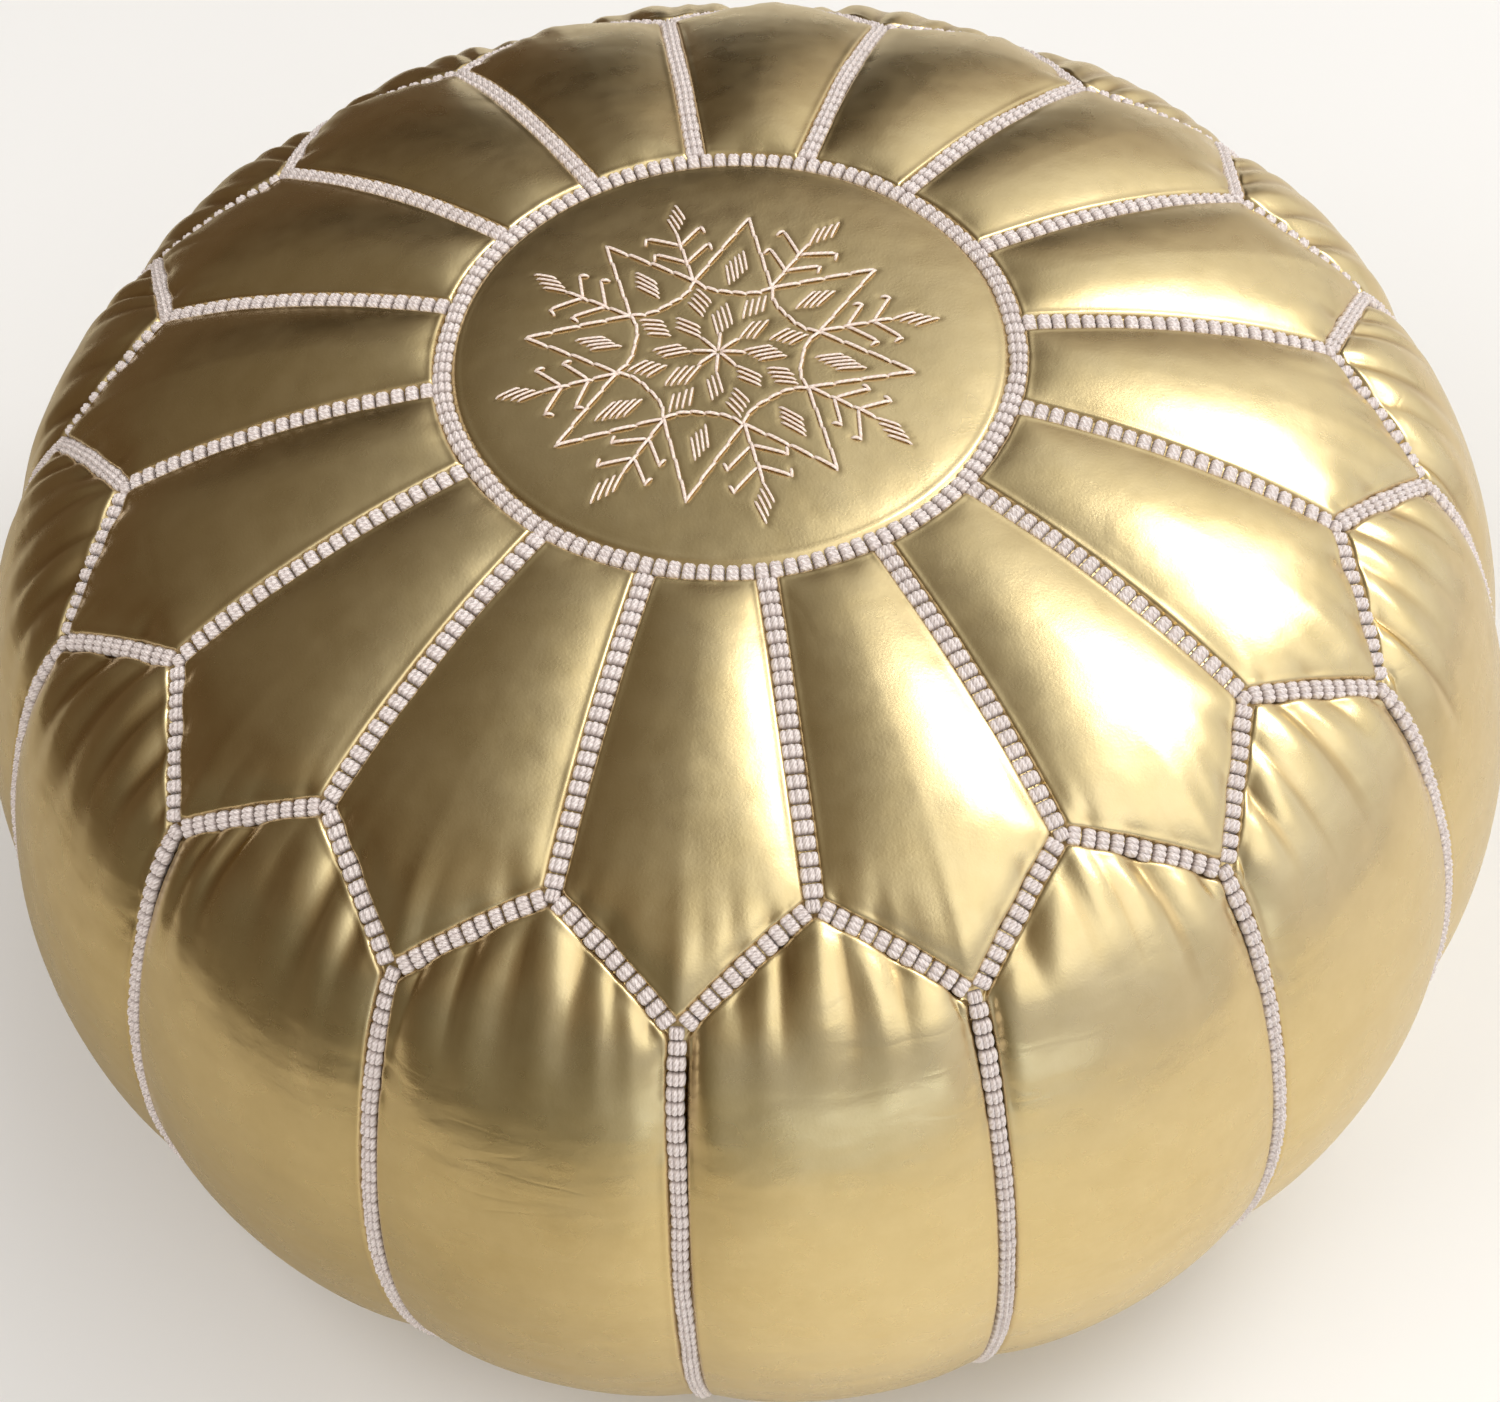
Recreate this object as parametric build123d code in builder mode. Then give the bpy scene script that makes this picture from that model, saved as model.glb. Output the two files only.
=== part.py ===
from build123d import *
import math
import os

# A stuffed round leather pouf: an embroidered medallion, petals, side panels, a zipped base and corded seams.
# Millimetres, +Z up. The origin is the centre of the base, on the surface that the pouf stands on.
# Petal seams lie at multiples of SECTOR degrees from +X, and side seams lie half a sector further on

# Leather body
PANELS = 16
SECTOR = 360 / PANELS
HEIGHT = 321.3
MIDDLE = HEIGHT / 2
LEATHER = 1.4
MEDALLION_RADIUS = 94.5
INNER_POINT_RADIUS = 203.0
OUTER_POINT_RADIUS = 232.0
BASE_RADIUS = 160.0
BASE_RISE = 3.4
FLAT_RADIUS = 138.0
WIDE = 2 * HEIGHT

# Seam cord: its height above the leather, its half width along each seam, and its clearance from the others
CORD_HEIGHT = 2.4
RADIAL_HALF = 3.2
ZIGZAG_HALF = 2.9
SIDE_HALF = 2.7
RING_HALF = 3.2
SEAM_CLEARANCE = 0.2

# Gap between the leather and the cords and threads that lie on it
SURFACE_GAP = 0.05

# Star embroidery
STAR_POINTS = 8
STAR_STEP = 360 / STAR_POINTS
STAR_CENTRE = (-3.9, -4.3)
TIP_RADIUS = 64.5
CROSSING_RADIUS = 34.0
BOW_RADIUS = 27.7
SPRIG_RADIUS = 59.0
TIP_ANGLE = 29.2
CROSSING_ANGLE = 7.3
THREAD = 1.2
THREAD_HEIGHT = 1.0
BARB_ROOTS = (43.5, 52.5)
BARB_LENGTH = 12.0
BARB_LEAN = 52
RAY_LENGTH = 9.0
RAY_LEAN = 4.5
CLUSTER_STITCHES = 4
STITCH_STEP = 2.0

# Clusters of stitches: radius, length of a stitch, and the leans of a stitch and of the step to the next
INNER_CLUSTER = (15.3, 10.3, 17, -38)
MIDDLE_CLUSTER = (24.0, 8.2, 21, -38)
OUTER_CLUSTER = (40.0, 10.2, 15, -31)
END_CLUSTER = (SPRIG_RADIUS + 7.5, 8.6, 10, -32)

# Zip in the base, along X. It closes towards +X
SLOT_HALF_LENGTH = 150.0
SLOT_HALF_WIDTH = 8.0
LIP_HEIGHT = 9.4
TAPE_LOW = 7.2
TAPE_THICKNESS = 0.8
TAPE_EDGE = 1.9
TOOTH_LOW = 6.6
TOOTH_HEIGHT = 2.0
TOOTH_LENGTH = 1.0
TOOTH_REACH = 1.1
TOOTH_PITCH = 2.4
CHAIN_START = -136.0
TEETH = 112
STOP_LENGTH = 2.0
STOP_GAP = 1.0
SLIDER_X = 139.0
SLIDER_LENGTH = 11.0
SLIDER_WIDTH = 8.8
OUTER_WING_LOW = 4.9
OUTER_WING_THICKNESS = 1.3
INNER_WING_LOW = 8.9
INNER_WING_THICKNESS = 1.1
FLANGE_WIDTH = 1.2
FLANGE_GAP = 0.3
BRIDGE_LENGTH = 2.0
BRIDGE_WIDTH = 1.8
ARCH_LENGTH = 5.6
ARCH_WIDTH = 2.4
ARCH_LOW = 2.0
ARCH_THICKNESS = 0.9
PULL_Z = 4.0
PULL_PIN_RADIUS = 0.55
PULL_THICKNESS = 1.1
PULL_LENGTH = 23.0
PULL_WIDTH = 7.0
PULL_FORK = 6.5
PULL_HOLE_RADIUS = 1.6

# Filling
FILLING_GAP = 0.3
CHANNEL_ROOF = 10.8

# Outline of the leather, from the top centre to the edge of the flat base: a soft dome, a round shoulder,
# and a side that bulges and tucks in underneath. Its directions are at the top centre and at the base seam
SKIN = [
    (0, HEIGHT),
    (62, 319.9),
    (126, 313.6),
    (188, 297.5),
    (235, 260.5),
    (259.5, 205),
    (264.8, 150),
    (256, 90),
    (230, 40),
    (190, 11),
    (BASE_RADIUS, BASE_RISE),
    (FLAT_RADIUS, 0),
]
SKIN_DIRECTIONS = ((1, 0), (-1, -0.16))

os.makedirs("parts", exist_ok=True)


def keep(piece, name):
    """Label a finished piece and write it as parts/name.step."""
    piece.part.label = name
    export_step(piece.part, f"parts/{name}.step")


def polar(radius, degrees):
    """The plan position at a radius and an angle from +X."""
    angle = math.radians(degrees)
    return (radius * math.cos(angle), radius * math.sin(angle))


def moved_skin(shift):
    """The outline's points moved outwards by shift, square to the line between their neighbours."""
    points = [(0, HEIGHT + shift)]
    for before, here, after in zip(SKIN, SKIN[1:], SKIN[2:] + [(0, 0)]):
        along = (Vector(*after) - Vector(*before)).normalized()
        points.append((here[0] - along.Y * shift, here[1] + along.X * shift))
    return points


def half_section(shift):
    """The right half of the body's section, grown outwards by shift."""
    points = moved_skin(shift)
    with BuildSketch(Plane.XZ) as section:
        with BuildLine():
            Spline(*points[:-1], tangents=SKIN_DIRECTIONS)
            Polyline(points[-2], points[-1], (0, -shift), points[0])
        make_face()
    return section.sketch


def only(inner, low, outer=WIDE, high=WIDE):
    """Keep the part of the section being drawn between two radii and two heights."""
    with Locations((inner, low)):
        Rectangle(outer - inner, high - low, align=(Align.MIN, Align.MIN), mode=Mode.INTERSECT)


def star_outline(shift=0.0):
    """The plan outline where petals meet side panels, moved outwards by shift."""
    corners = []
    for i in range(PANELS):
        corners.append(polar(INNER_POINT_RADIUS, i * SECTOR))
        corners.append(polar(OUTER_POINT_RADIUS, (i + 0.5) * SECTOR))
    with BuildSketch() as outline:
        with BuildLine():
            Polyline(*corners, close=True)
        make_face()
        if shift:
            offset(amount=shift, kind=Kind.INTERSECTION)
    return outline.sketch


with BuildSketch(Plane.XZ) as leather_section:
    add(half_section(0))
    add(half_section(-LEATHER), mode=Mode.SUBTRACT)

with BuildSketch(Plane.XZ) as cord_section:
    add(half_section(CORD_HEIGHT))
    add(half_section(SURFACE_GAP), mode=Mode.SUBTRACT)

# Top medallion
with BuildPart() as top_medallion:
    with BuildSketch(Plane.XZ):
        add(leather_section.sketch)
        only(0, MIDDLE, outer=MEDALLION_RADIUS)
    revolve(axis=Axis.Z)
keep(top_medallion, "top_medallion")

# Petals: the shoulder leather inside the star outline, one sector each
with BuildPart() as petal_blank:
    with BuildSketch(Plane.XZ):
        add(leather_section.sketch)
        only(MEDALLION_RADIUS, MIDDLE)
    revolve(axis=Axis.Z, revolution_arc=SECTOR)
    with BuildSketch(Plane.XY.offset(MIDDLE)):
        add(star_outline())
    extrude(amount=HEIGHT, mode=Mode.INTERSECT)

for number in range(PANELS):
    with BuildPart() as petal:
        add(petal_blank.part, rotation=(0, 0, number * SECTOR))
    keep(petal, f"petal_{number + 1:02d}")

# Side panels: the leather outside the star outline, down and under to the base seam. Each is centred on a
# petal seam, so the star outline is turned half a sector to cut a blank that starts at +X
with BuildPart() as side_blank:
    with BuildSketch(Plane.XZ):
        add(leather_section.sketch)
        only(BASE_RADIUS, -HEIGHT)
    revolve(axis=Axis.Z, revolution_arc=SECTOR)
    with BuildSketch(Plane.XY.offset(MIDDLE)):
        Circle(MEDALLION_RADIUS)
        add(star_outline(), rotation=SECTOR / 2)
    extrude(amount=HEIGHT, mode=Mode.SUBTRACT)

for number in range(PANELS):
    with BuildPart() as side_panel:
        add(side_blank.part, rotation=(0, 0, (number - 0.5) * SECTOR))
    keep(side_panel, f"side_panel_{number + 1:02d}")

# Base: a leather disc parted by the zip's slot. Each half's straight edge turns up into a lip beside the
# zip, and a small tab closes the slot beyond each end of the zip
with BuildPart() as base_blank:
    with BuildSketch(Plane.XZ):
        add(leather_section.sketch)
        only(0, -HEIGHT, outer=BASE_RADIUS, high=MIDDLE)
    revolve(axis=Axis.Z)

with BuildPart() as base_left:
    add(base_blank.part)
    with BuildSketch(Plane.XY):
        with Locations((0, SLOT_HALF_WIDTH)):
            Rectangle(WIDE, WIDE, align=(Align.CENTER, Align.MIN))
    extrude(amount=HEIGHT, mode=Mode.INTERSECT)
    with BuildSketch(Plane.XY.offset(LEATHER)):
        with Locations((0, SLOT_HALF_WIDTH)):
            Rectangle(2 * SLOT_HALF_LENGTH, LEATHER, align=(Align.CENTER, Align.MIN))
    extrude(amount=LIP_HEIGHT - LEATHER)
keep(base_left, "base_left")

with BuildPart() as base_right:
    mirror(base_left.part, about=Plane.XZ)
keep(base_right, "base_right")

with BuildPart() as zip_end_tab_front:
    add(base_blank.part)
    with BuildSketch(Plane.XY):
        with Locations((SLOT_HALF_LENGTH, 0)):
            Rectangle(WIDE, 2 * SLOT_HALF_WIDTH, align=(Align.MIN, Align.CENTER))
    extrude(amount=HEIGHT, mode=Mode.INTERSECT)
keep(zip_end_tab_front, "zip_end_tab_front")

with BuildPart() as zip_end_tab_rear:
    mirror(zip_end_tab_front.part, about=Plane.YZ)
keep(zip_end_tab_rear, "zip_end_tab_rear")

# Seam cords, which stand on the leather. A mitre at a zigzag corner reaches further than the half width
POINT_RUN = math.dist(polar(OUTER_POINT_RADIUS, SECTOR / 2), (INNER_POINT_RADIUS, 0))
INNER_MITRE = ZIGZAG_HALF * POINT_RUN / polar(OUTER_POINT_RADIUS, SECTOR / 2)[1]
OUTER_MITRE = ZIGZAG_HALF * POINT_RUN / polar(INNER_POINT_RADIUS, SECTOR / 2)[1]
RADIAL_START = MEDALLION_RADIUS + RING_HALF + SEAM_CLEARANCE
RADIAL_END = INNER_POINT_RADIUS - INNER_MITRE - SEAM_CLEARANCE
SIDE_START = OUTER_POINT_RADIUS + OUTER_MITRE + SEAM_CLEARANCE
SIDE_END = BASE_RADIUS + RING_HALF + SEAM_CLEARANCE

with BuildPart() as medallion_ring_cord:
    with BuildSketch(Plane.XZ):
        add(cord_section.sketch)
        only(MEDALLION_RADIUS - RING_HALF, MIDDLE, outer=MEDALLION_RADIUS + RING_HALF)
    revolve(axis=Axis.Z)
keep(medallion_ring_cord, "medallion_ring_cord")

with BuildPart() as radial_cord:
    with BuildSketch(Plane.XZ):
        add(cord_section.sketch)
        only(RADIAL_START, MIDDLE, outer=RADIAL_END)
    extrude(amount=RADIAL_HALF, both=True)

with BuildPart() as petal_seam_cords:
    for number in range(PANELS):
        add(radial_cord.part, rotation=(0, 0, number * SECTOR))
keep(petal_seam_cords, "petal_seam_cords")

with BuildPart() as zigzag_cord:
    with BuildSketch(Plane.XZ):
        add(cord_section.sketch)
        only((MEDALLION_RADIUS + INNER_POINT_RADIUS) / 2, MIDDLE)
    revolve(axis=Axis.Z)
    with BuildSketch(Plane.XY.offset(MIDDLE)):
        add(star_outline(ZIGZAG_HALF))
        add(star_outline(-ZIGZAG_HALF), mode=Mode.SUBTRACT)
    extrude(amount=HEIGHT, mode=Mode.INTERSECT)
keep(zigzag_cord, "zigzag_cord")

with BuildSketch(Plane.XZ) as along_side:
    with Locations((SIDE_START, MIDDLE)):
        Rectangle(HEIGHT, HEIGHT, align=(Align.MIN, Align.MIN))
    with Locations((SIDE_END, -HEIGHT)):
        Rectangle(HEIGHT, HEIGHT + MIDDLE, align=(Align.MIN, Align.MIN))

with BuildPart() as side_cord:
    with BuildSketch(Plane.XZ):
        add(cord_section.sketch)
        add(along_side.sketch, mode=Mode.INTERSECT)
    extrude(amount=SIDE_HALF, both=True)

with BuildPart() as side_seam_cords:
    for number in range(PANELS):
        add(side_cord.part, rotation=(0, 0, (number + 0.5) * SECTOR))
keep(side_seam_cords, "side_seam_cords")

with BuildPart() as base_seam_cord:
    with BuildSketch(Plane.XZ):
        add(cord_section.sketch)
        only(BASE_RADIUS - RING_HALF, -HEIGHT, outer=BASE_RADIUS + RING_HALF, high=MIDDLE)
    revolve(axis=Axis.Z)
keep(base_seam_cord, "base_seam_cord")

# Star embroidery on the medallion: strands that cross, fern sprigs, and clusters of parallel stitches


def strand(turn):
    """One strand's line: in from a tip, bowed across between two crossings, and out to another tip."""
    crossings = [polar(CROSSING_RADIUS, turn + side * STAR_STEP / 2) for side in (-1, 1)]
    tips = [polar(TIP_RADIUS, turn + side * STAR_STEP) for side in (-1, 1)]
    Line(tips[0], crossings[0])
    ThreePointArc(crossings[0], polar(BOW_RADIUS, turn), crossings[1])
    Line(crossings[1], tips[1])


def stitch(first, last):
    """A straight stitch with round ends, in the sketch that is being drawn."""
    run = Vector(*last) - Vector(*first)
    with Locations((Vector(*last) + Vector(*first)) / 2):
        SlotCenterToCenter(run.length, THREAD, rotation=math.degrees(math.atan2(run.Y, run.X)))


def cluster(turn, radius, length, lean, step):
    """Parallel stitches that lean from the line outwards, each stepped from the one before."""
    for i in range(CLUSTER_STITCHES):
        place = STITCH_STEP * (i - (CLUSTER_STITCHES - 1) / 2)
        middle = Vector(*polar(radius, turn)) + Vector(*polar(place, turn + step))
        half = Vector(*polar(length / 2, turn + lean))
        stitch(tuple(middle - half)[:2], tuple(middle + half)[:2])


def sprig(turn):
    """A stem from a crossing with two pairs of barbs."""
    stitch(polar(CROSSING_RADIUS, turn), polar(SPRIG_RADIUS, turn))
    for root in BARB_ROOTS:
        for side in (-1, 1):
            start = polar(root, turn)
            end = Vector(*start) + Vector(*polar(BARB_LENGTH, turn + side * BARB_LEAN))
            stitch(start, tuple(end)[:2])


with BuildSketch(Plane.XY.offset(MIDDLE)) as threads:
    for i in range(STAR_POINTS):
        tip_turn = TIP_ANGLE + i * STAR_STEP
        crossing_turn = CROSSING_ANGLE + i * STAR_STEP
        with BuildLine():
            strand(tip_turn)
        trace(line_width=THREAD)
        sprig(crossing_turn)
        stitch(polar(0, 0), polar(RAY_LENGTH, tip_turn + RAY_LEAN))
        cluster(tip_turn + RAY_LEAN, *INNER_CLUSTER)
        cluster(crossing_turn, *MIDDLE_CLUSTER)
        cluster(tip_turn, *OUTER_CLUSTER)
        cluster(crossing_turn, *END_CLUSTER)

with BuildPart() as star_embroidery:
    with BuildSketch(Plane.XZ):
        add(half_section(THREAD_HEIGHT))
        add(half_section(SURFACE_GAP), mode=Mode.SUBTRACT)
        only(0, MIDDLE, outer=MEDALLION_RADIUS - RING_HALF)
    revolve(axis=Axis.Z)
    with BuildSketch(Plane.XY.offset(MIDDLE)):
        with Locations(STAR_CENTRE):
            add(threads.sketch)
    extrude(amount=HEIGHT, mode=Mode.INTERSECT)
keep(star_embroidery, "star_embroidery")

# Zip: two cloth tapes between the lips, and two rows of teeth that mesh along the middle
TAPE_LENGTH = 2 * SLOT_HALF_LENGTH - 2 * SEAM_CLEARANCE
with BuildPart() as zip_tape_left:
    with BuildSketch(Plane.XY.offset(TAPE_LOW)):
        with Locations((0, TAPE_EDGE)):
            Rectangle(TAPE_LENGTH, SLOT_HALF_WIDTH - TAPE_EDGE, align=(Align.CENTER, Align.MIN))
    extrude(amount=TAPE_THICKNESS)
keep(zip_tape_left, "zip_tape_left")

with BuildPart() as zip_tape_right:
    mirror(zip_tape_left.part, about=Plane.XZ)
keep(zip_tape_right, "zip_tape_right")


def tooth_row(side, shift):
    """A row of teeth that grips the tape on one side and reaches just past the middle."""
    with BuildPart() as row:
        with BuildSketch(Plane.XY.offset(TOOTH_LOW)):
            for i in range(TEETH):
                with Locations((CHAIN_START + shift + i * TOOTH_PITCH, side * (TAPE_EDGE - TOOTH_REACH) / 2)):
                    Rectangle(TOOTH_LENGTH, TAPE_EDGE + TOOTH_REACH)
        extrude(amount=TOOTH_HEIGHT)
    return row


keep(tooth_row(1, 0), "zip_teeth_left")
keep(tooth_row(-1, TOOTH_PITCH / 2), "zip_teeth_right")

TOP_STOP_X = SLOT_HALF_LENGTH - STOP_LENGTH
with BuildPart() as zip_top_stops:
    with BuildSketch(Plane.XY.offset(TOOTH_LOW)):
        with Locations((TOP_STOP_X, -TAPE_EDGE / 2), (TOP_STOP_X, TAPE_EDGE / 2)):
            Rectangle(STOP_LENGTH, TAPE_EDGE - FLANGE_GAP)
    extrude(amount=TOOTH_HEIGHT)
keep(zip_top_stops, "zip_top_stops")

with BuildPart() as zip_bottom_stop:
    with BuildSketch(Plane.XY.offset(TOOTH_LOW)):
        with Locations((CHAIN_START - TOOTH_LENGTH / 2 - STOP_GAP, 0)):
            Rectangle(STOP_LENGTH, 2 * TAPE_EDGE, align=(Align.MAX, Align.CENTER))
    extrude(amount=TOOTH_HEIGHT)
keep(zip_bottom_stop, "zip_bottom_stop")

# Slider: two wings either side of the teeth, joined by a bridge ahead of them, with turned flanges over the
# tapes and an arch below that holds the pull
FLANGE_Y = SLIDER_WIDTH / 2 - FLANGE_WIDTH / 2
OUTER_WING_TOP = OUTER_WING_LOW + OUTER_WING_THICKNESS
BRIDGE_X = SLIDER_X + SLIDER_LENGTH / 2 - BRIDGE_LENGTH

with BuildPart() as zip_slider:
    with BuildSketch(Plane.XY.offset(OUTER_WING_LOW)):
        with Locations((SLIDER_X, 0)):
            RectangleRounded(SLIDER_LENGTH, SLIDER_WIDTH, SLIDER_WIDTH / 4)
    extrude(amount=OUTER_WING_THICKNESS)
    with BuildSketch(Plane.XY.offset(INNER_WING_LOW)):
        with Locations((SLIDER_X, 0)):
            RectangleRounded(SLIDER_LENGTH, SLIDER_WIDTH, SLIDER_WIDTH / 4)
    extrude(amount=INNER_WING_THICKNESS)
    with BuildSketch(Plane.XY.offset(OUTER_WING_TOP)):
        with Locations((SLIDER_X, -FLANGE_Y), (SLIDER_X, FLANGE_Y)):
            Rectangle(SLIDER_LENGTH / 2, FLANGE_WIDTH)
    extrude(amount=TAPE_LOW - FLANGE_GAP - OUTER_WING_TOP)
    with BuildSketch(Plane.XY.offset(TAPE_LOW + TAPE_THICKNESS + FLANGE_GAP)):
        with Locations((SLIDER_X, -FLANGE_Y), (SLIDER_X, FLANGE_Y)):
            Rectangle(SLIDER_LENGTH / 2, FLANGE_WIDTH)
    extrude(amount=INNER_WING_LOW - TAPE_LOW - TAPE_THICKNESS - FLANGE_GAP)
    with BuildSketch(Plane.XY.offset(OUTER_WING_TOP)):
        with Locations((BRIDGE_X, 0)):
            Rectangle(BRIDGE_LENGTH, BRIDGE_WIDTH)
    extrude(amount=INNER_WING_LOW - OUTER_WING_TOP)
    with BuildSketch(Plane.XZ):
        with Locations((SLIDER_X, ARCH_LOW)):
            Rectangle(ARCH_LENGTH, OUTER_WING_LOW - ARCH_LOW, align=(Align.CENTER, Align.MIN))
        with Locations((SLIDER_X, ARCH_LOW + ARCH_THICKNESS)):
            Rectangle(
                ARCH_LENGTH - 2 * ARCH_THICKNESS,
                OUTER_WING_LOW - ARCH_LOW - ARCH_THICKNESS,
                align=(Align.CENTER, Align.MIN),
                mode=Mode.SUBTRACT,
            )
    extrude(amount=ARCH_WIDTH / 2, both=True)
keep(zip_slider, "zip_slider")

# Pull: a cross pin under the arch and a forked flat tongue, which lies back along the closed teeth
with BuildPart() as zip_pull:
    with BuildSketch(Plane.XY.offset(PULL_Z - PULL_THICKNESS / 2)):
        with Locations((SLIDER_X + PULL_THICKNESS / 2, 0)):
            Rectangle(PULL_LENGTH - PULL_WIDTH / 2, PULL_WIDTH, align=(Align.MAX, Align.CENTER))
        with Locations((SLIDER_X + PULL_THICKNESS / 2 - PULL_LENGTH + PULL_WIDTH / 2, 0)):
            Circle(PULL_WIDTH / 2)
            Circle(PULL_HOLE_RADIUS, mode=Mode.SUBTRACT)
        with Locations((SLIDER_X + PULL_THICKNESS, 0)):
            Rectangle(
                PULL_FORK + PULL_THICKNESS,
                ARCH_WIDTH + 4 * FLANGE_GAP,
                align=(Align.MAX, Align.CENTER),
                mode=Mode.SUBTRACT,
            )
    extrude(amount=PULL_THICKNESS)
    with BuildSketch(Plane.XZ):
        with Locations((SLIDER_X, PULL_Z)):
            Circle(PULL_PIN_RADIUS)
    extrude(amount=PULL_WIDTH / 2, both=True)
keep(zip_pull, "zip_pull")

# Filling: soft stuffing that fills the leather, with a channel left free above the zip
with BuildPart() as filling:
    with BuildSketch(Plane.XZ):
        add(half_section(-LEATHER - FILLING_GAP))
    revolve(axis=Axis.Z)
    with BuildSketch(Plane.XY):
        Rectangle(
            2 * (SLOT_HALF_LENGTH + LEATHER + FILLING_GAP),
            2 * (SLOT_HALF_WIDTH + LEATHER + FILLING_GAP),
        )
    extrude(amount=CHANNEL_ROOF, mode=Mode.SUBTRACT)
keep(filling, "filling")
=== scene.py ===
"""The looks of the stuffed leather pouf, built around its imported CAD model. Metres, in the CAD frame."""

from math import cos, pi, radians, sin

import bpy
import numpy as np
from mathutils import Matrix, Vector
from numpy.linalg import norm


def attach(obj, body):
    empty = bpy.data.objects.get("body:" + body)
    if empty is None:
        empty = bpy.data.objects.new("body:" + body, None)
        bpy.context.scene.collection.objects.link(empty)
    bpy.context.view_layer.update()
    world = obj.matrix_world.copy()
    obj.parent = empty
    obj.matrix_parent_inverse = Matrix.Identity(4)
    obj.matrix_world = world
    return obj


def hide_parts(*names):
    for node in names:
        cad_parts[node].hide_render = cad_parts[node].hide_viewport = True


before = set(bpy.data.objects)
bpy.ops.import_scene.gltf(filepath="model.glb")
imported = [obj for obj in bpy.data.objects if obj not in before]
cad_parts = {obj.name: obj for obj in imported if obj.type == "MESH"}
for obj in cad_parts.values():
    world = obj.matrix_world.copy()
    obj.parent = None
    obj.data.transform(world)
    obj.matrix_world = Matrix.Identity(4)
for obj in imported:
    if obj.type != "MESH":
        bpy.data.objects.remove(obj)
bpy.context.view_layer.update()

MM = 0.001
scene = bpy.context.scene
PANELS = 16
SECTOR = 2 * pi / PANELS
RING_RADIUS = 94.5 * MM
INNER_POINT_RADIUS = 203 * MM
OUTER_POINT_RADIUS = 232 * MM
BASE_RADIUS = 160 * MM
LEATHER = 1.2 * MM
SEED = 7

# Section of the seams' own level, from the top centre to the flat of the base, in millimetres: each
# point's radius and height
SEAM_SECTION = [
    (0, 319.4),
    (50, 318.9),
    (94.5, 316.3),
    (126, 312.2),
    (157, 305.0),
    (188, 293.6),
    (203, 286.2),
    (220, 274.8),
    (232, 264.0),
    (243, 249.0),
    (252.5, 226),
    (259.5, 202),
    (264, 175),
    (265, 148),
    (262, 119),
    (255, 92),
    (243, 64),
    (224, 38),
    (196, 15.5),
    (BASE_RADIUS / MM, 4.0),
]
SECTION_POINTS = 6000


# Curves and the surface that the seams lie on


def lengths_along(line):
    """The length from a line's start to each of its points."""
    return np.r_[0, np.cumsum(norm(np.diff(line, axis=0), axis=1))]


def unit(vectors):
    """Vectors made one long."""
    return vectors / norm(vectors, axis=-1, keepdims=True)


def spline_through(points, count):
    """A cubic spline through points, evenly spaced along its length. Its ends have no curvature."""
    p = np.array(points, float)
    t = lengths_along(p)
    h = np.diff(t)
    n = len(p)
    a = np.eye(n)
    b = np.zeros_like(p)
    for i in range(1, n - 1):
        a[i, i - 1 : i + 2] = h[i - 1], 2 * (h[i - 1] + h[i]), h[i]
        b[i] = 6 * ((p[i + 1] - p[i]) / h[i] - (p[i] - p[i - 1]) / h[i - 1])
    m = np.linalg.solve(a, b)
    q = np.linspace(0, t[-1], count)
    k = np.clip(np.searchsorted(t, q, "right") - 1, 0, n - 2)
    left = (q - t[k])[:, None]
    right = (t[k + 1] - q)[:, None]
    step = h[k][:, None]
    curve = (m[k] * right**3 + m[k + 1] * left**3) / (6 * step)
    curve += (p[k] / step - m[k] * step / 6) * right + (p[k + 1] / step - m[k + 1] * step / 6) * left
    return evenly(curve, count)


def evenly(line, count):
    """The points of a line, spaced evenly along its length."""
    along = lengths_along(line)
    wanted = np.linspace(0, along[-1], count)
    return np.stack([np.interp(wanted, along, c) for c in line.T], -1)


def make_section():
    """The seam level's section as arrays: length from the top centre, radius, height and normal."""
    whole = [(-r, z) for r, z in SEAM_SECTION[2:0:-1]] + SEAM_SECTION
    curve = spline_through(whole, SECTION_POINTS) * MM
    curve = curve[curve[:, 0] >= 0]
    curve[0, 0] = 0
    tangent = unit(np.gradient(curve, axis=0))
    return lengths_along(curve), curve[:, 0], curve[:, 1], -tangent[:, 1], tangent[:, 0]


LENGTH, RADIUS, HEIGHT, OUTWARD, UPWARD = make_section()
EQUATOR = int(np.argmax(RADIUS))


def length_at(radius):
    """The section's length from the top centre to a radius on its upper side."""
    return np.interp(radius, RADIUS[:EQUATOR], LENGTH[:EQUATOR])


def on_surface(angle, length):
    """Points and normals of the seam level at angles and lengths down the section."""
    r, z, out, up = (np.interp(length, LENGTH, c) for c in (RADIUS, HEIGHT, OUTWARD, UPWARD))
    c, s = np.cos(angle), np.sin(angle)
    return np.stack([r * c, r * s, z], -1), np.stack([out * c, out * s, up], -1)


def zigzag_radius(angle):
    """The plan radius of the zigzag seam. Its inner points are at multiples of SECTOR."""
    turn = np.abs((angle + SECTOR / 2) % SECTOR - SECTOR / 2)
    half = SECTOR / 2
    inner = np.array([INNER_POINT_RADIUS, 0])
    outer = OUTER_POINT_RADIUS * np.array([cos(half), sin(half)])
    edge = outer - inner
    return (inner[0] * edge[1] - inner[1] * edge[0]) / (edge[1] * np.cos(turn) - edge[0] * np.sin(turn))


# Meshes


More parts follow.
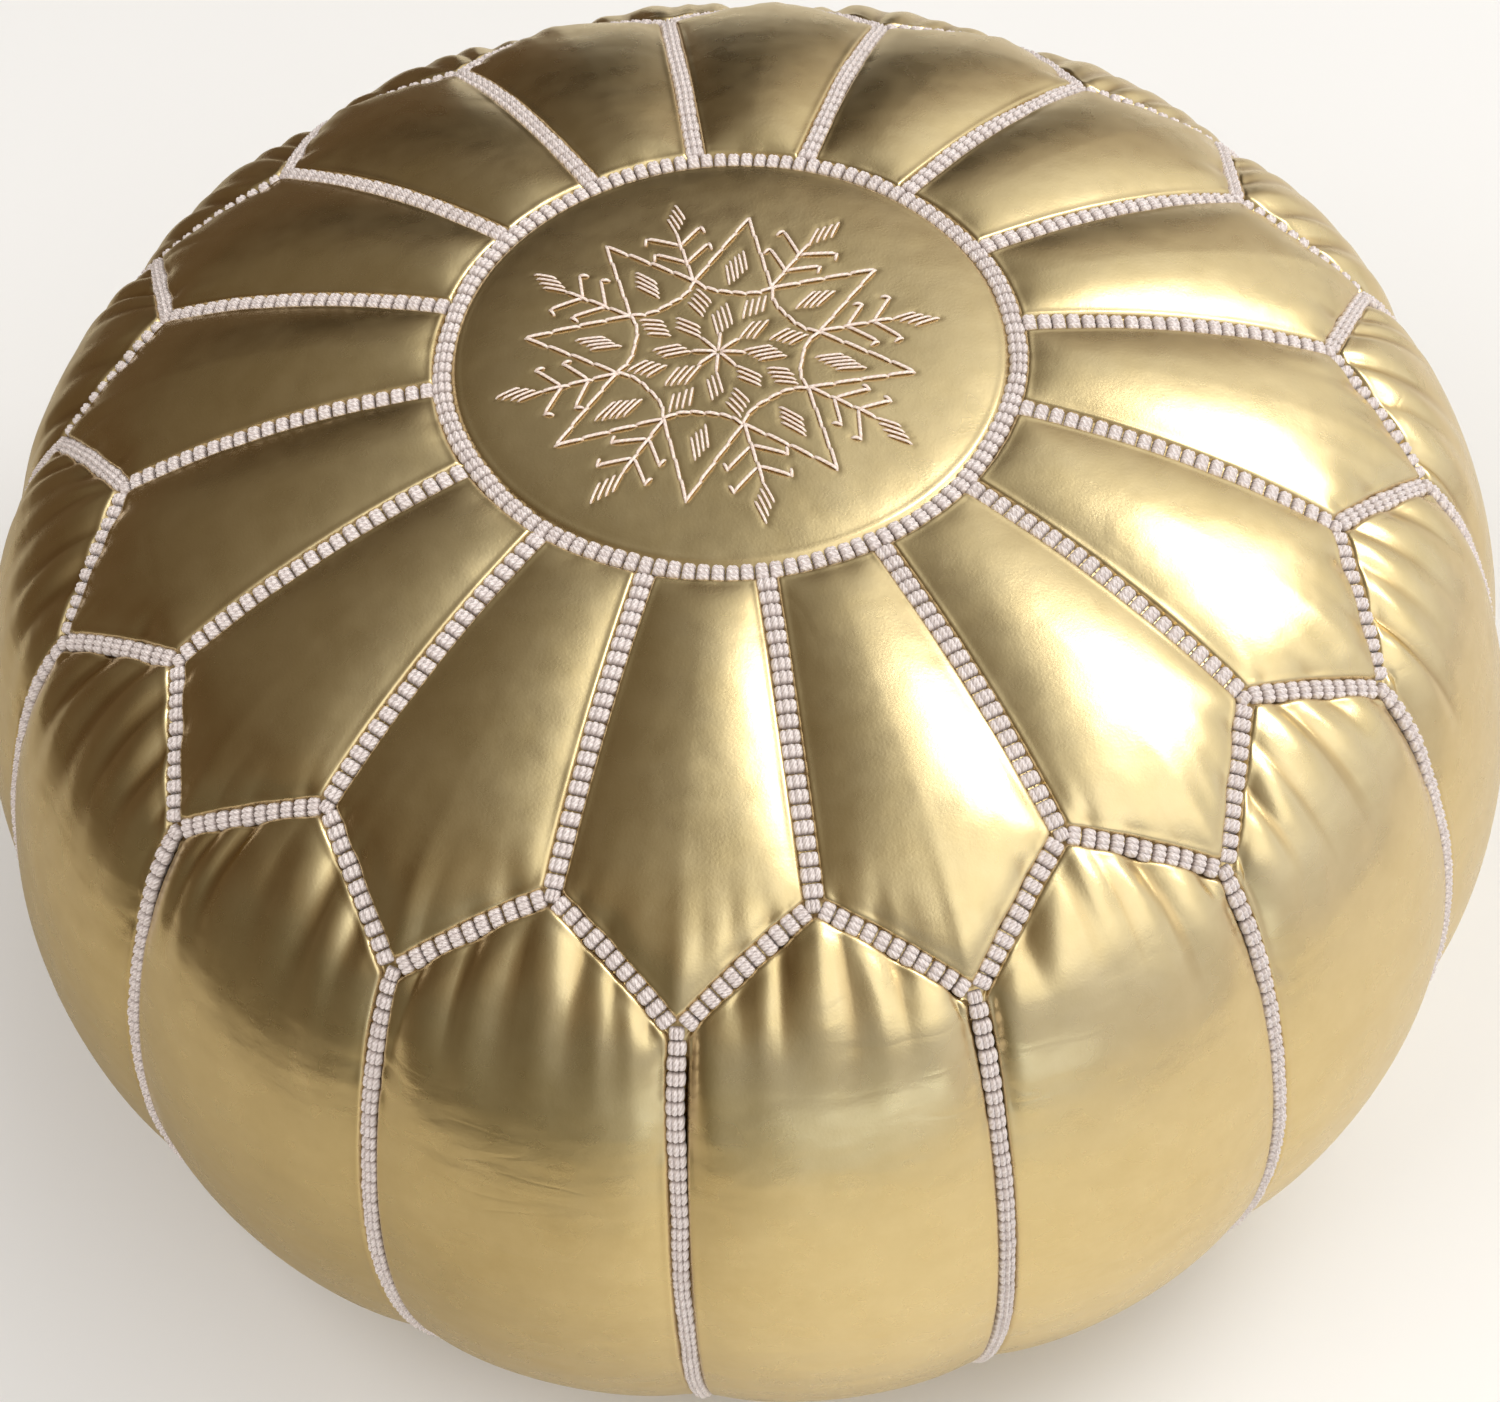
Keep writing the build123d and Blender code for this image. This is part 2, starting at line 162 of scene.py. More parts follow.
def mesh_piece(name, points, faces, look):
    """A new mesh object with one material."""
    mesh = bpy.data.meshes.new(name)
    mesh.from_pydata(np.asarray(points).reshape(-1, 3).tolist(), [], [list(f) for f in faces])
    mesh.polygons.foreach_set("use_smooth", np.full(len(mesh.polygons), True))
    mesh.materials.append(look)
    mesh.update()
    piece = bpy.data.objects.new(name, mesh)
    scene.collection.objects.link(piece)
    return piece


def grid_faces(rows, columns, first=0, flip=False):
    """The quads of a grid of points kept row by row."""
    i = np.arange(rows - 1)[:, None] * columns + np.arange(columns - 1)[None] + first
    quads = np.stack([i, i + columns, i + columns + 1, i + 1], -1).reshape(-1, 4)
    return quads[:, ::-1] if flip else quads


def ring_faces(rings, count, flip=False):
    """The quads between rings of count points each."""
    i = np.arange(rings - 1)[:, None] * count
    j = np.arange(count)[None]
    k = (j + 1) % count
    quads = np.stack([i + j, i + k, i + k + count, i + j + count], -1).reshape(-1, 4)
    return (quads[:, [0, 3, 2, 1]] if flip else quads).tolist()


def normals_of(grid):
    """Unit normals of a grid of points, on the side that its quads face."""
    down = np.gradient(grid, axis=-3)
    across = np.gradient(grid, axis=-2)
    n = np.cross(down, across)
    return n / np.maximum(norm(n, axis=-1, keepdims=True), 1e-12)


def shell(grid, thickness):
    """The points and faces of a closed thin shell under a grid of points."""
    rows, columns = grid.shape[:2]
    inner = grid - normals_of(grid) * thickness
    n = rows * columns
    index = np.arange(n).reshape(rows, columns)
    rim = np.concatenate([index[-1, :-1], index[:0:-1, -1], index[0, :0:-1], index[:-1, 0]])
    after = np.roll(rim, -1)
    sides = np.stack([rim, rim + n, after + n, after], -1)
    faces = np.concatenate([grid_faces(rows, columns), grid_faces(rows, columns, n, flip=True), sides])
    return np.concatenate([grid.reshape(-1, 3), inner.reshape(-1, 3)]), faces


# Leather panels: grids between seams, in the frame of a panel that is centred on +X

COLUMNS = 41
PETAL_ROWS = 57
SIDE_ROWS = 97

# The leather lies flat in a band under each braid, and its turned edge makes a rolled rim beside that
SEAM_BAND = 2.5 * MM
ROLL_HEIGHT = 1.0 * MM
ROLL_WIDTH = 1.7 * MM
RIM_HEIGHT = 0.3 * MM
RIM_WIDTH = 1.1 * MM
BESIDE_WIDTH = 3.6 * MM


def crowded(count, both=0.08):
    """Steps from 0 to 1 that are closer together at both ends."""
    t = np.linspace(0, 1, count)
    return t - both * np.sin(2 * pi * t)


def petal_places():
    """The angle and section length of each point of a petal's grid."""
    u = crowded(COLUMNS)[None]
    v = crowded(PETAL_ROWS)[:, None]
    angle = (u - 0.5) * SECTOR + 0 * v
    first = length_at(RING_RADIUS)
    last = length_at(zigzag_radius(angle + SECTOR / 2))
    return angle, first + v * (last - first)


def side_places():
    """The angle and section length of each point of a side panel's grid."""
    u = crowded(COLUMNS)[None]
    v = np.linspace(0, 1, SIDE_ROWS)[:, None] ** 1.35
    angle = (u - 0.5) * SECTOR + 0 * v
    first = length_at(zigzag_radius(angle))
    return angle, first + v * (LENGTH[-1] - first)


def nearness(points, line):
    """The distance from each point to the nearest point of a line of closely spaced points."""
    flat = points.reshape(-1, 3)
    near = np.full(len(flat), np.inf)
    for part in np.array_split(evenly(line, 400), 20):
        near = np.minimum(near, norm(flat[:, None] - part[None], axis=-1).min(1))
    return near.reshape(points.shape[:-1])


def edge_distances(points):
    """The distances from a grid's points to its first row, last row, first column and last column."""
    edges = (points[0], points[-1], points[:, 0], points[:, -1])
    return np.stack([nearness(points, e) for e in edges])


def swell(distances, height, spread):
    """How far stuffed leather rises above its seams: steep beside a seam, and nearly flat in the middle."""
    clear = np.maximum(distances - SEAM_BAND, 1e-6)
    soft = (clear**-3.0).sum(0) ** (-1 / 3)
    return height * (1 - np.exp(-soft / spread))


def finer(grid):
    """A grid with a point added between each two neighbours, on a smooth curve through them."""
    for axis in (-3, -2):
        g = np.moveaxis(grid, axis, 0)
        ends = np.concatenate([2 * g[:1] - g[1:2], g, 2 * g[-1:] - g[-2:-1]])
        middles = (9 * (ends[1:-2] + ends[2:-1]) - ends[:-3] - ends[3:]) / 16
        out = np.empty((2 * len(g) - 1, *g.shape[1:]))
        out[::2] = g
        out[1::2] = middles
        grid = np.moveaxis(out, 0, axis)
    return grid


def turned(points, angle):
    """Points turned about the vertical axis."""
    c, s = cos(angle), sin(angle)
    return points @ np.array([[c, s, 0], [-s, c, 0], [0, 0, 1]])


# The leather's shape: a cloth simulation. Panels swell between their seams, and where a seam gathers them
# they are cut longer than the seam, so they pucker

# Each link between two points of a grid: rows down, columns across and strength
LINKS = [(0, 1, 0.2), (1, 0, 0.2), (1, 1, 0.1), (1, -1, 0.1), (0, 2, 0.08), (2, 0, 0.08), (0, 4, 0.03)]
ROUNDS = 300
MOMENTUM = 0.92
PUSHED_IN = -4 * MM
PUSHED_OUT = 6 * MM


def linked(grid, down, across):
    """The two ends of every link from a point to the one that is down rows and across columns away."""
    rows, columns = grid.shape[1:3]
    left, right = max(0, -across), columns - max(0, across)
    return grid[:, : rows - down, left:right], grid[:, down:, left + across : right + across]


def rest_lengths(grid, gather, along):
    """Each link's length, as if the grid were cut wider by gather in the direction along at each point."""
    lengths = []
    for down, across, _ in LINKS:
        a, b = linked(grid, down, across)
        d = b - a
        share = (d * linked(along, down, across)[0]).sum(-1)
        wider = (1 + linked(gather, down, across)[0]) ** 2 - 1
        lengths.append(np.sqrt((d * d).sum(-1) + wider * share * share))
    return lengths


def settle(start, normals, held, lengths, pressure):
    """Let grids of cloth, held at some points, find their shape under pressure from inside."""
    x = start.copy()
    before = x.copy()
    for _ in range(ROUNDS):
        move = np.zeros_like(x)
        for (down, across, strength), rest in zip(LINKS, lengths):
            a, b = linked(x, down, across)
            d = b - a
            size = np.sqrt((d * d).sum(-1))
            d *= (strength * (1 - rest / np.maximum(size, 1e-9)))[..., None]
            first, second = linked(move, down, across)
            first += d
            second -= d
        swept = np.cross(x[:, 2:, 1:-1] - x[:, :-2, 1:-1], x[:, 1:-1, 2:] - x[:, 1:-1, :-2])
        move[:, 1:-1, 1:-1] += pressure / 4 * swept
        latest = x + MOMENTUM * (x - before) + move
        rise = ((latest - start) * normals).sum(-1)
        latest += (np.clip(rise, PUSHED_IN, PUSHED_OUT) - rise)[..., None] * normals
        latest[:, held] = start[:, held]
        before, x = x, latest
    return x


def lumps(points, rng, height, size, count):
    """Gentle unevenness of the stuffing: soft round rises and dips at random places."""
    flat = points.reshape(-1, points.shape[-1])
    centres = flat[rng.integers(0, len(flat), count)]
    heights = rng.uniform(-height, height, count)
    apart = ((flat[:, None] - centres) ** 2).sum(-1)
    return (np.exp(-apart / (2 * size**2)) @ heights).reshape(points.shape[:-1])


def puckers(across, down, rng, half_seam, spacing, depth, reach):
    """How deep valleys are that start at a gathered seam, about spacing apart, and fade out below it."""
    dip = np.zeros_like(down)
    place = -half_seam + spacing * rng.uniform(0.4, 0.8)
    while place < half_seam - spacing * 0.3:
        bend = rng.uniform(-0.07, 0.07) * down
        width = rng.uniform(0.17, 0.34) * spacing * (1 + down / (90 * MM))
        fade = (1 - np.exp(-down / (6 * MM))) * np.exp(-((down / (reach * rng.uniform(0.65, 1.25))) ** 2))
        valley = np.exp(-(np.abs((across - place - bend) / width) ** 1.8))
        dip = np.maximum(dip, depth * rng.uniform(0.4, 1.15) * valley * fade)
        place += spacing * rng.uniform(0.65, 1.35)
    return dip


def make_panels(places, seam_row, height, spread, gather, reach, narrowing, spacing, depth, pressure, seed):
    """Sixteen stuffed panels' grids, not yet turned to their places, and distances to their edges."""
    angle, length = places
    level, normals = on_surface(angle, length)
    distances = edge_distances(level)
    smooth_rise = swell(distances, height(length), spread)
    down = np.abs(length - length[seam_row])
    circle = np.stack([-np.sin(angle), np.cos(angle), 0 * angle], -1)
    meridian = np.cross(circle, normals)
    seam = np.gradient(level[seam_row], axis=0)
    run = (seam * circle[seam_row]).sum(-1)
    drop = np.convolve(np.pad((seam * meridian[seam_row]).sum(-1), 4, "edge"), np.full(9, 1 / 9), "valid")
    along = (run[:, None] * circle + drop[:, None] * meridian) / np.hypot(run, drop)[:, None]
    half_seam = norm(np.diff(level[seam_row], axis=0), axis=1).sum() / 2
    side = 2 * angle / SECTOR
    across = side / (1 - narrowing * (1 - np.exp(-down / (25 * MM)))) * half_seam
    starts = []
    for number in range(PANELS):
        rng = np.random.default_rng(seed + number)
        rise = smooth_rise * (1 + lumps(level, rng, 0.14, 22 * MM, 14))
        rise = rise - puckers(across, down, rng, half_seam, spacing, depth, reach)
        starts.append(level + rise[..., None] * normals)
    start = np.array(starts)
    held = distances.min(0) < SEAM_BAND
    cut = gather * np.exp(-((down / reach) ** 2)) + 0 * angle
    lengths = rest_lengths(start, cut[None], along[None])
    start = settle(start, normals[None], held, lengths, pressure)
    return finished(start, level)


def rolled_edge(distance):
    """The height of the leather's turned edge: flat under the braid, then a small rolled rim beside it."""
    share = np.clip((distance - SEAM_BAND) / ROLL_WIDTH, 0, 1)
    rim = np.exp(-(((distance - SEAM_BAND - ROLL_WIDTH) / RIM_WIDTH) ** 2))
    return ROLL_HEIGHT * share * share * (3 - 2 * share) + RIM_HEIGHT * rim * (share > 0)


def finished(grids, level):
    """Finer grids with their edges rolled up beside the seams, and distances to the nearest edge."""
    grids = finer(grids)
    distance = edge_distances(finer(level)).min(0)
    return grids + normals_of(grids) * rolled_edge(distance)[None, ..., None], distance


# Materials


def material(name, **values):
    """A new material, its node tree, and its shader with some sockets set."""
    made = bpy.data.materials.new(name)
    made.use_nodes = True
    shader = made.node_tree.nodes["Principled BSDF"]
    for socket, value in values.items():
        shader.inputs[socket.replace("_", " ")].default_value = value
    return made, made.node_tree, shader


def node(tree, kind, inputs=None, **settings):
    """A new node with its settings and its inputs, which are values or other nodes' outputs."""
    made = tree.nodes.new("ShaderNode" + kind)
    for key, value in settings.items():
        setattr(made, key, value)
    for key, value in (inputs or {}).items():
        if isinstance(value, bpy.types.NodeSocket):
            tree.links.new(value, made.inputs[key])
        else:
            made.inputs[key].default_value = value
    return made


def link(shader, **outputs):
    """Link nodes' outputs to a shader's sockets."""
    for socket, output in outputs.items():
        shader.id_data.links.new(output, shader.inputs[socket.replace("_", " ")])


def own_place(tree):
    """The object's own coordinates."""
    return node(tree, "TexCoord").outputs["Object"]


def noise(tree, scale, detail=2.0, roughness=0.5, flatten=1.0):
    """Noise over the object's own coordinates. scale is how many features there are in a metre."""
    place = own_place(tree)
    if flatten != 1:
        place = node(tree, "Mapping", {"Vector": place, "Scale": (1, 1, flatten)}).outputs[0]
    inputs = {"Vector": place, "Scale": scale, "Detail": detail, "Roughness": roughness}
    return node(tree, "TexNoise", inputs).outputs["Fac"]


def between(tree, factor, low, high, start=0.0, end=1.0):
    """A number that goes from low to high as factor goes from start to end."""
    inputs = {"Value": factor, "From Min": start, "From Max": end, "To Min": low, "To Max": high}
    return node(tree, "MapRange", inputs).outputs["Result"]


def mixed(tree, factor, first, second, blend="MIX"):
    """A colour mixed from two, which are colours or outputs."""
    made = node(tree, "Mix", data_type="RGBA", blend_type=blend)
    for socket, value in zip((made.inputs[0], made.inputs[6], made.inputs[7]), (factor, first, second)):
        if isinstance(value, bpy.types.NodeSocket):
            tree.links.new(value, socket)
        elif isinstance(value, tuple):
            socket.default_value = (*value, 1)
        else:
            socket.default_value = value
    return made.outputs[2]


def attribute(tree, name):
    """A number that is kept at each point of a mesh."""
    return node(tree, "Attribute", attribute_name=name).outputs["Fac"]


def bump(tree, height, distance, below=None):
    """A normal from a height between 0 and 1 that stands for a real distance."""
    inputs = {"Height": height, "Distance": distance, "Strength": 1.0}
    if below is not None:
        inputs["Normal"] = below
    return node(tree, "Bump", inputs).outputs["Normal"]


def gold_leather(name):
    """Leather with a metallic gold foil: satin, mottled and finely grained, with painted shade that browns
    it in creases and beside seams.
    """
    made, tree, shader = material(name, Metallic=1.0, Coat_Weight=0.2, Coat_Roughness=0.22, Coat_IOR=1.5)
    mottle = noise(tree, 60, 4.0, 0.65)
    cloud = noise(tree, 9, 2.0)
    colour = mixed(tree, between(tree, mottle, 0, 1, 0.3, 0.7), (0.73, 0.575, 0.285), (0.80, 0.645, 0.345))
    colour = mixed(tree, between(tree, cloud, 0, 0.4, 0.35, 0.7), colour, (0.83, 0.685, 0.39))
    # painted shade: the leather turns brown by the mask kept at each point, in creases, beside seams and
    # along stitches
    painted_crease_shade = between(tree, attribute(tree, "crease_shade"), 0, 0.6)
    colour = mixed(tree, painted_crease_shade, colour, (0.42, 0.26, 0.09))
    rough = between(tree, noise(tree, 90, 2.0, 0.5), 0.25, 0.33, 0.3, 0.7)
    soft = bump(tree, noise(tree, 20, 2.0, 0.45, 3.0), 0.0008)
    dents = bump(tree, noise(tree, 48, 2.0, 0.5), 0.00035, soft)
    wander = node(tree, "Math", {0: noise(tree, 7, 3.0, 0.55, 5.0), 1: 0.5}, operation="SUBTRACT").outputs[0]
    beside = node(tree, "Math", {0: wander}, operation="ABSOLUTE").outputs[0]
    line = between(tree, beside, 0, 1, 0.0, 0.03)
    faded = mixed(tree, between(tree, noise(tree, 11, 1.0), 0, 1, 0.45, 0.6), (1.0, 1.0, 1.0), line)
    creases = bump(tree, faded, 0.00005, dents)
    cells = node(tree, "TexVoronoi", {"Vector": own_place(tree), "Scale": 1300.0}, feature="SMOOTH_F1")
    grain = bump(tree, cells.outputs["Distance"], 0.000014, creases)
    fine = bump(tree, noise(tree, 950, 2.0, 0.5), 0.00003, grain)
    link(shader, Base_Color=colour, Roughness=rough, Normal=fine)
    return made


def cord_thread(name, light, dark, groove_shade, ridge):
    """Lustrous twisted thread. Its ply shows as fine slanted ridges with painted shade between them, and
    painted shade darkens it in the grooves.
    """
    made, tree, shader = material(
        name, Roughness=0.36, Sheen_Weight=0.5, Sheen_Roughness=0.4, Specular_IOR_Level=0.7
    )
    sine = node(tree, "Math", {0: attribute(tree, "ply")}, operation="SINE").outputs[0]
    turns = between(tree, sine, 0, 1, -1, 1)
    # painted shade: the thread darkens where its ply ridges dip
    colour = mixed(tree, between(tree, turns, 0.25, 1), dark, light)
    colour = mixed(tree, between(tree, noise(tree, 240, 3.0), 0, 0.5, 0.4, 0.7), colour, dark)
    # painted shade: darker in the braid's grooves and on its blocks' walls
    colour = mixed(tree, attribute(tree, "groove_shade"), colour, groove_shade)
    fuzz = bump(tree, noise(tree, 2600, 2.0), 0.00006, bump(tree, turns, ridge))
    link(shader, Base_Color=colour, Normal=fuzz)
    return made


def brass(name):
    """Zip brass: bright in some patches and duller and rougher in others."""
    made, tree, shader = material(name, Metallic=1.0)
    patina = noise(tree, 500, 4.0, 0.6)
    colour = mixed(tree, between(tree, patina, 0, 1, 0.35, 0.7), (0.8, 0.58, 0.27), (0.52, 0.35, 0.15))
    rough = between(tree, patina, 0.22, 0.42, 0.35, 0.7)
    link(shader, Base_Color=colour, Roughness=rough, Normal=bump(tree, noise(tree, 1500, 3.0), 0.00005))
    return made


def twill_tape(name):
    """Woven cotton tape with a fine diagonal rib, and painted shade in the rib's hollows."""
    made, tree, shader = material(name, Roughness=0.85, Sheen_Weight=0.3, Sheen_Roughness=0.5)
    turn = (0, 0, radians(35))
    slanted = node(tree, "Mapping", {"Vector": own_place(tree), "Rotation": turn}).outputs[0]
    rib = node(tree, "TexWave", {"Vector": slanted, "Scale": 330.0, "Distortion": 0.6}).outputs["Fac"]
    # painted shade: darker where the rib dips
    colour = mixed(tree, rib, (0.2, 0.13, 0.055), (0.42, 0.3, 0.15))
    colour = mixed(tree, between(tree, noise(tree, 700, 3.0), 0, 0.4), colour, (0.3, 0.21, 0.1))
    link(shader, Base_Color=colour, Normal=bump(tree, rib, 0.0002))
    return made


def stuffing(name):
    """Off-white cotton wadding, which the leather hides."""
    made, tree, shader = material(name, Roughness=0.95, Sheen_Weight=0.5)
    tufts = noise(tree, 80, 5.0, 0.7)
    colour = mixed(tree, tufts, (0.6, 0.56, 0.49), (0.82, 0.79, 0.72))
    link(shader, Base_Color=colour, Normal=bump(tree, tufts, 0.004))
    return made


GOLD = gold_leather("gold_leather")
# The third colour of each thread is the painted shade of its grooves
SEAM_THREAD = cord_thread(
    "seam_cord", (0.88, 0.80, 0.77), (0.62, 0.53, 0.50), (0.24, 0.175, 0.145), 0.18 * MM
)
STAR_THREAD = cord_thread(
    "embroidery_thread", (0.95, 0.83, 0.74), (0.76, 0.59, 0.50), (0.14, 0.08, 0.045), 0.08 * MM
)
BRASS = brass("zip_brass")
TAPE = twill_tape("zip_tape")
WADDING = stuffing("stuffing")


def put_on_pouf(piece, cad_node):
    """Let a piece stand for a CAD node and move with the pouf."""
    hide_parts(cad_node)
    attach(piece, "pouf")


def keep_number(piece, name, values):
    """Keep a number at each point of a mesh, for its material to read."""
    piece.data.attributes.new(name, "FLOAT", "POINT").data.foreach_set("value", np.ravel(values))


def add_leather(name, grid, crease_shade, cad_node):
    """A stuffed leather panel that stands for a CAD node."""
    points, faces = shell(grid, LEATHER)
    piece = mesh_piece(name, points, faces, GOLD)
    keep_number(piece, "crease_shade", np.concatenate([np.ravel(crease_shade), np.ravel(crease_shade)]))
    put_on_pouf(piece, cad_node)


def crease_depth(grid, distance):
    """How much painted shade browns the leather: from 0 on open leather to 1 in creases and right beside
    seams.
    """
    normals = normals_of(grid)
    blurred = grid
    for _ in range(12):
        for axis in (0, 1):
            g = np.moveaxis(blurred, axis, 0)
            inner = (g[:-2] + 2 * g[1:-1] + g[2:]) / 4
            blurred = np.moveaxis(np.concatenate([g[:1], inner, g[-1:]]), 0, axis)
    hollow = ((blurred - grid) * normals).sum(-1)
    beside = np.exp(-((distance / BESIDE_WIDTH) ** 2))
    # painted shade is strongest in hollows and right beside the seams
    return np.clip(hollow / (0.35 * MM), 0, 1) * 0.8 + 0.6 * beside


# Petals and side panels


def petal_height(length):
    """How high a petal swells: less near the ring."""
    far = (length - length_at(RING_RADIUS)) / (length_at(OUTER_POINT_RADIUS) - length_at(RING_RADIUS))
    return (4.8 + 2.2 * np.clip(far, 0, 1)) * MM


def side_height(length):
    """How high a side panel swells: most at its gathered top, and least where it tucks in underneath."""
    places = [length_at(INNER_POINT_RADIUS), LENGTH[EQUATOR], LENGTH[-1]]
    return np.interp(length, places, [6.5 * MM, 3.6 * MM, 2.4 * MM])


def add_panels(kind, cad_kind, first_turn, panels):
    """Sixteen panels round the pouf, as make_panels gives them."""
    grids, distance = panels
    for number, grid in enumerate(grids):
        placed = turned(grid, (number + first_turn) * SECTOR)
        crease_shade = crease_depth(grid, distance)
        add_leather(f"{kind}_leather_{number + 1:02d}", placed, crease_shade, f"{cad_kind}_{number + 1:02d}")


petals = make_panels(
    petal_places(),
    seam_row=-1,
    height=petal_height,
    spread=15 * MM,
    gather=0.012,
    reach=30 * MM,
    narrowing=0.25,
    spacing=17 * MM,
    depth=0.7 * MM,
    pressure=0.05,
    seed=SEED,
)
add_panels("petal", "petal", 0.5, petals)

sides = make_panels(
    side_places(),
    seam_row=0,
    height=side_height,
    spread=14 * MM,
    gather=0.02,
    reach=50 * MM,
    narrowing=-0.12,
    spacing=17.5 * MM,
    depth=3.0 * MM,
    pressure=0.05,
    seed=SEED + 100,
)
add_panels("side", "side_panel", 0, sides)

# Star embroidery: each stitch dives into the leather at both its ends

STAR_CENTRE = np.array([-3.9, -4.3]) * MM

# The star's layout round its centre, in millimetres and degrees
TIP_ANGLE = 29.2
CROSSING_ANGLE = 7.3
TIP_RADIUS = 64.5
CROSSING_RADIUS = 34
BOW_RADIUS = 27.7
SPRIG_RADIUS = 59
STITCH_STEP = 2.25

THREAD = 1.1 * MM
FINE_THREAD = 0.88 * MM
THREAD_SIDES = 8
STITCH_RINGS = 9
FLATTEN = 0.8


def polar(radius, degrees):
    """A plan point in millimetres from the star's centre."""
    angle = radians(degrees)
    return np.array([radius * cos(angle), radius * sin(angle)])


def run_of_stitches(line, rng, size):
    """Stitches end to end along a line. Each starts a little beside the last one's end."""
    line = np.asarray(line, float)
    total = norm(np.diff(line, axis=0), axis=1).sum()
    count = max(1, round(total / size))
    ends = evenly(line, 20 * count + 1)[::20]
    stitches = []
    for a, b in zip(ends, ends[1:]):
        along = (b - a) / norm(b - a)
        beside = np.array([-along[1], along[0]]) * 0.2
        stitches.append((a - along * rng.uniform(0.2, 0.9) + beside, b + along * 0.2 - beside))
    return stitches


def cluster(radius, turn, length, lean, step, count, rng, size=STITCH_STEP):
    """Parallel stitches that lean from the line outwards, each stepped from the one before."""
    stitches = []
    for i in range(count):
        middle = polar(radius, turn) + polar(size * (i - (count - 1) / 2), turn + step)
        half = polar(length / 2 * rng.uniform(0.93, 1.07), turn + lean + rng.uniform(-2, 2))
        stitches.append((middle - half, middle + half))
    return stitches


def sprig(turn, rng):
    """A stem outwards from a crossing with two pairs of barbs, and a small hook at each barb's end."""
    stitches = run_of_stitches([polar(CROSSING_RADIUS, turn), polar(SPRIG_RADIUS, turn)], rng, 9.5)
    for root in (43.5, 52.5):
        for side in (-1, 1):
            start = polar(root, turn)
            end = start + polar(12 * rng.uniform(0.92, 1.08), turn + side * rng.uniform(48, 57))
            hook = end + polar(3.1, turn + side * rng.uniform(150, 175))
            stitches += [(start, end), (end + polar(0.3, turn), hook)]
    return stitches


def star_stitches():
    """The stitches of the star's lines and of its clusters, each as two end points, in metres in plan."""
    rng = np.random.default_rng(SEED + 200)
    stitches, fills = [], []
    for k in range(8):
        tip = TIP_ANGLE + 45 * k
        crossing = CROSSING_ANGLE + 45 * k
        first, last = (polar(CROSSING_RADIUS, tip + side * 22.5) for side in (-1, 1))
        bow = [
            polar(BOW_RADIUS / cos(radians(0.6 * turn)) ** 3, tip + turn)
            for turn in (-15, -8, 0, 8, 15)
        ]
        stitches += run_of_stitches([polar(TIP_RADIUS, tip - 45), first], rng, 8.8)
        stitches += run_of_stitches([first, *bow, last], rng, 4.6)
        stitches += run_of_stitches([last, polar(TIP_RADIUS, tip + 45)], rng, 8.8)
        stitches += sprig(crossing, rng)
        stitches.append((polar(0.8, tip + 4.5), polar(9, tip + 4.5)))
        fills += cluster(15.3, tip + 4.5, 10, 17, -38, 3 + (k + k // 3) % 2, rng)
        fills += cluster(24, crossing + 1, 8.2, 21, -38, 4, rng)
        fills += cluster(40, tip + 0.5, 10.2, 15, -31, 4 + (k + 1) % 3 // 2, rng)
        fills += cluster(SPRIG_RADIUS + 7.5, crossing - 1.5, 9, 11, -30, 4, rng, 2.7)
    return [np.array(group) * MM + STAR_CENTRE for group in (stitches, fills)]


LINE_STITCHES, CLUSTER_STITCHES = star_stitches()
STITCHES = np.concatenate([LINE_STITCHES, CLUSTER_STITCHES])

# Medallion: one round panel, pressed in a little along each stitch

MEDALLION_COLUMNS = 201
MEDALLION_SWELL = 3.4 * MM


def medallion_level(plan):
    """The height of the medallion's leather at plan points, without its stitches."""
    radius = np.minimum(norm(plan, axis=-1), RING_RADIUS)
    level = np.interp(radius, RADIUS[:EQUATOR], HEIGHT[:EQUATOR])
    clear = np.maximum(RING_RADIUS - SEAM_BAND - radius, 0)
    return level + MEDALLION_SWELL * (1 - np.exp(-clear / (13 * MM)))


def disc_places(count):
    """A square grid of plan points bent into a disc of radius 1, with no pole."""
    a, b = np.meshgrid(np.linspace(-1, 1, count), np.linspace(-1, 1, count), indexing="ij")
    wide = np.abs(a) > np.abs(b)
    radius = np.where(wide, a, b)
    share = np.where(wide, b, a) / np.where(radius == 0, 1, radius) * pi / 4
    x = radius * np.where(wide, np.cos(share), np.sin(share))
    y = radius * np.where(wide, np.sin(share), np.cos(share))
    return np.stack([x, y], -1)


def stitch_distance(plan):
    """The distance from plan points to the nearest stitch."""
    near = np.full(plan.shape[:-1], 1.0)
    for a, b in STITCHES:
        run = b - a
        share = np.clip(((plan - a) @ run) / (run @ run), 0, 1)
        near = np.minimum(near, norm(plan - a - share[..., None] * run, axis=-1))
    return near


def make_medallion():
    """The medallion's grid and its mask of painted shade, along its stitches and beside the ring."""
    rng = np.random.default_rng(SEED + 300)
    plan = disc_places(MEDALLION_COLUMNS) * RING_RADIUS
    radius = norm(plan, axis=-1)
    beside = RING_RADIUS - radius
    uneven = lumps(plan, rng, 0.5 * MM, 20 * MM, 26) * (1 - np.exp(-beside / (12 * MM)))
    pressed = np.exp(-((stitch_distance(plan) / (1.1 * MM)) ** 2))
    roll = rolled_edge(beside)
    height = medallion_level(plan) + uneven + roll - 0.22 * MM * pressed
    # painted shade: darker where the stitches press in and beside the ring seam
    crease_shade = 0.5 * pressed + 0.6 * np.exp(-((beside / BESIDE_WIDTH) ** 2))
    return np.dstack([plan, height]), crease_shade, plan, uneven + roll


medallion, medallion_crease_shade, medallion_plan, medallion_uneven = make_medallion()
add_leather("medallion_leather", medallion, medallion_crease_shade, "top_medallion")


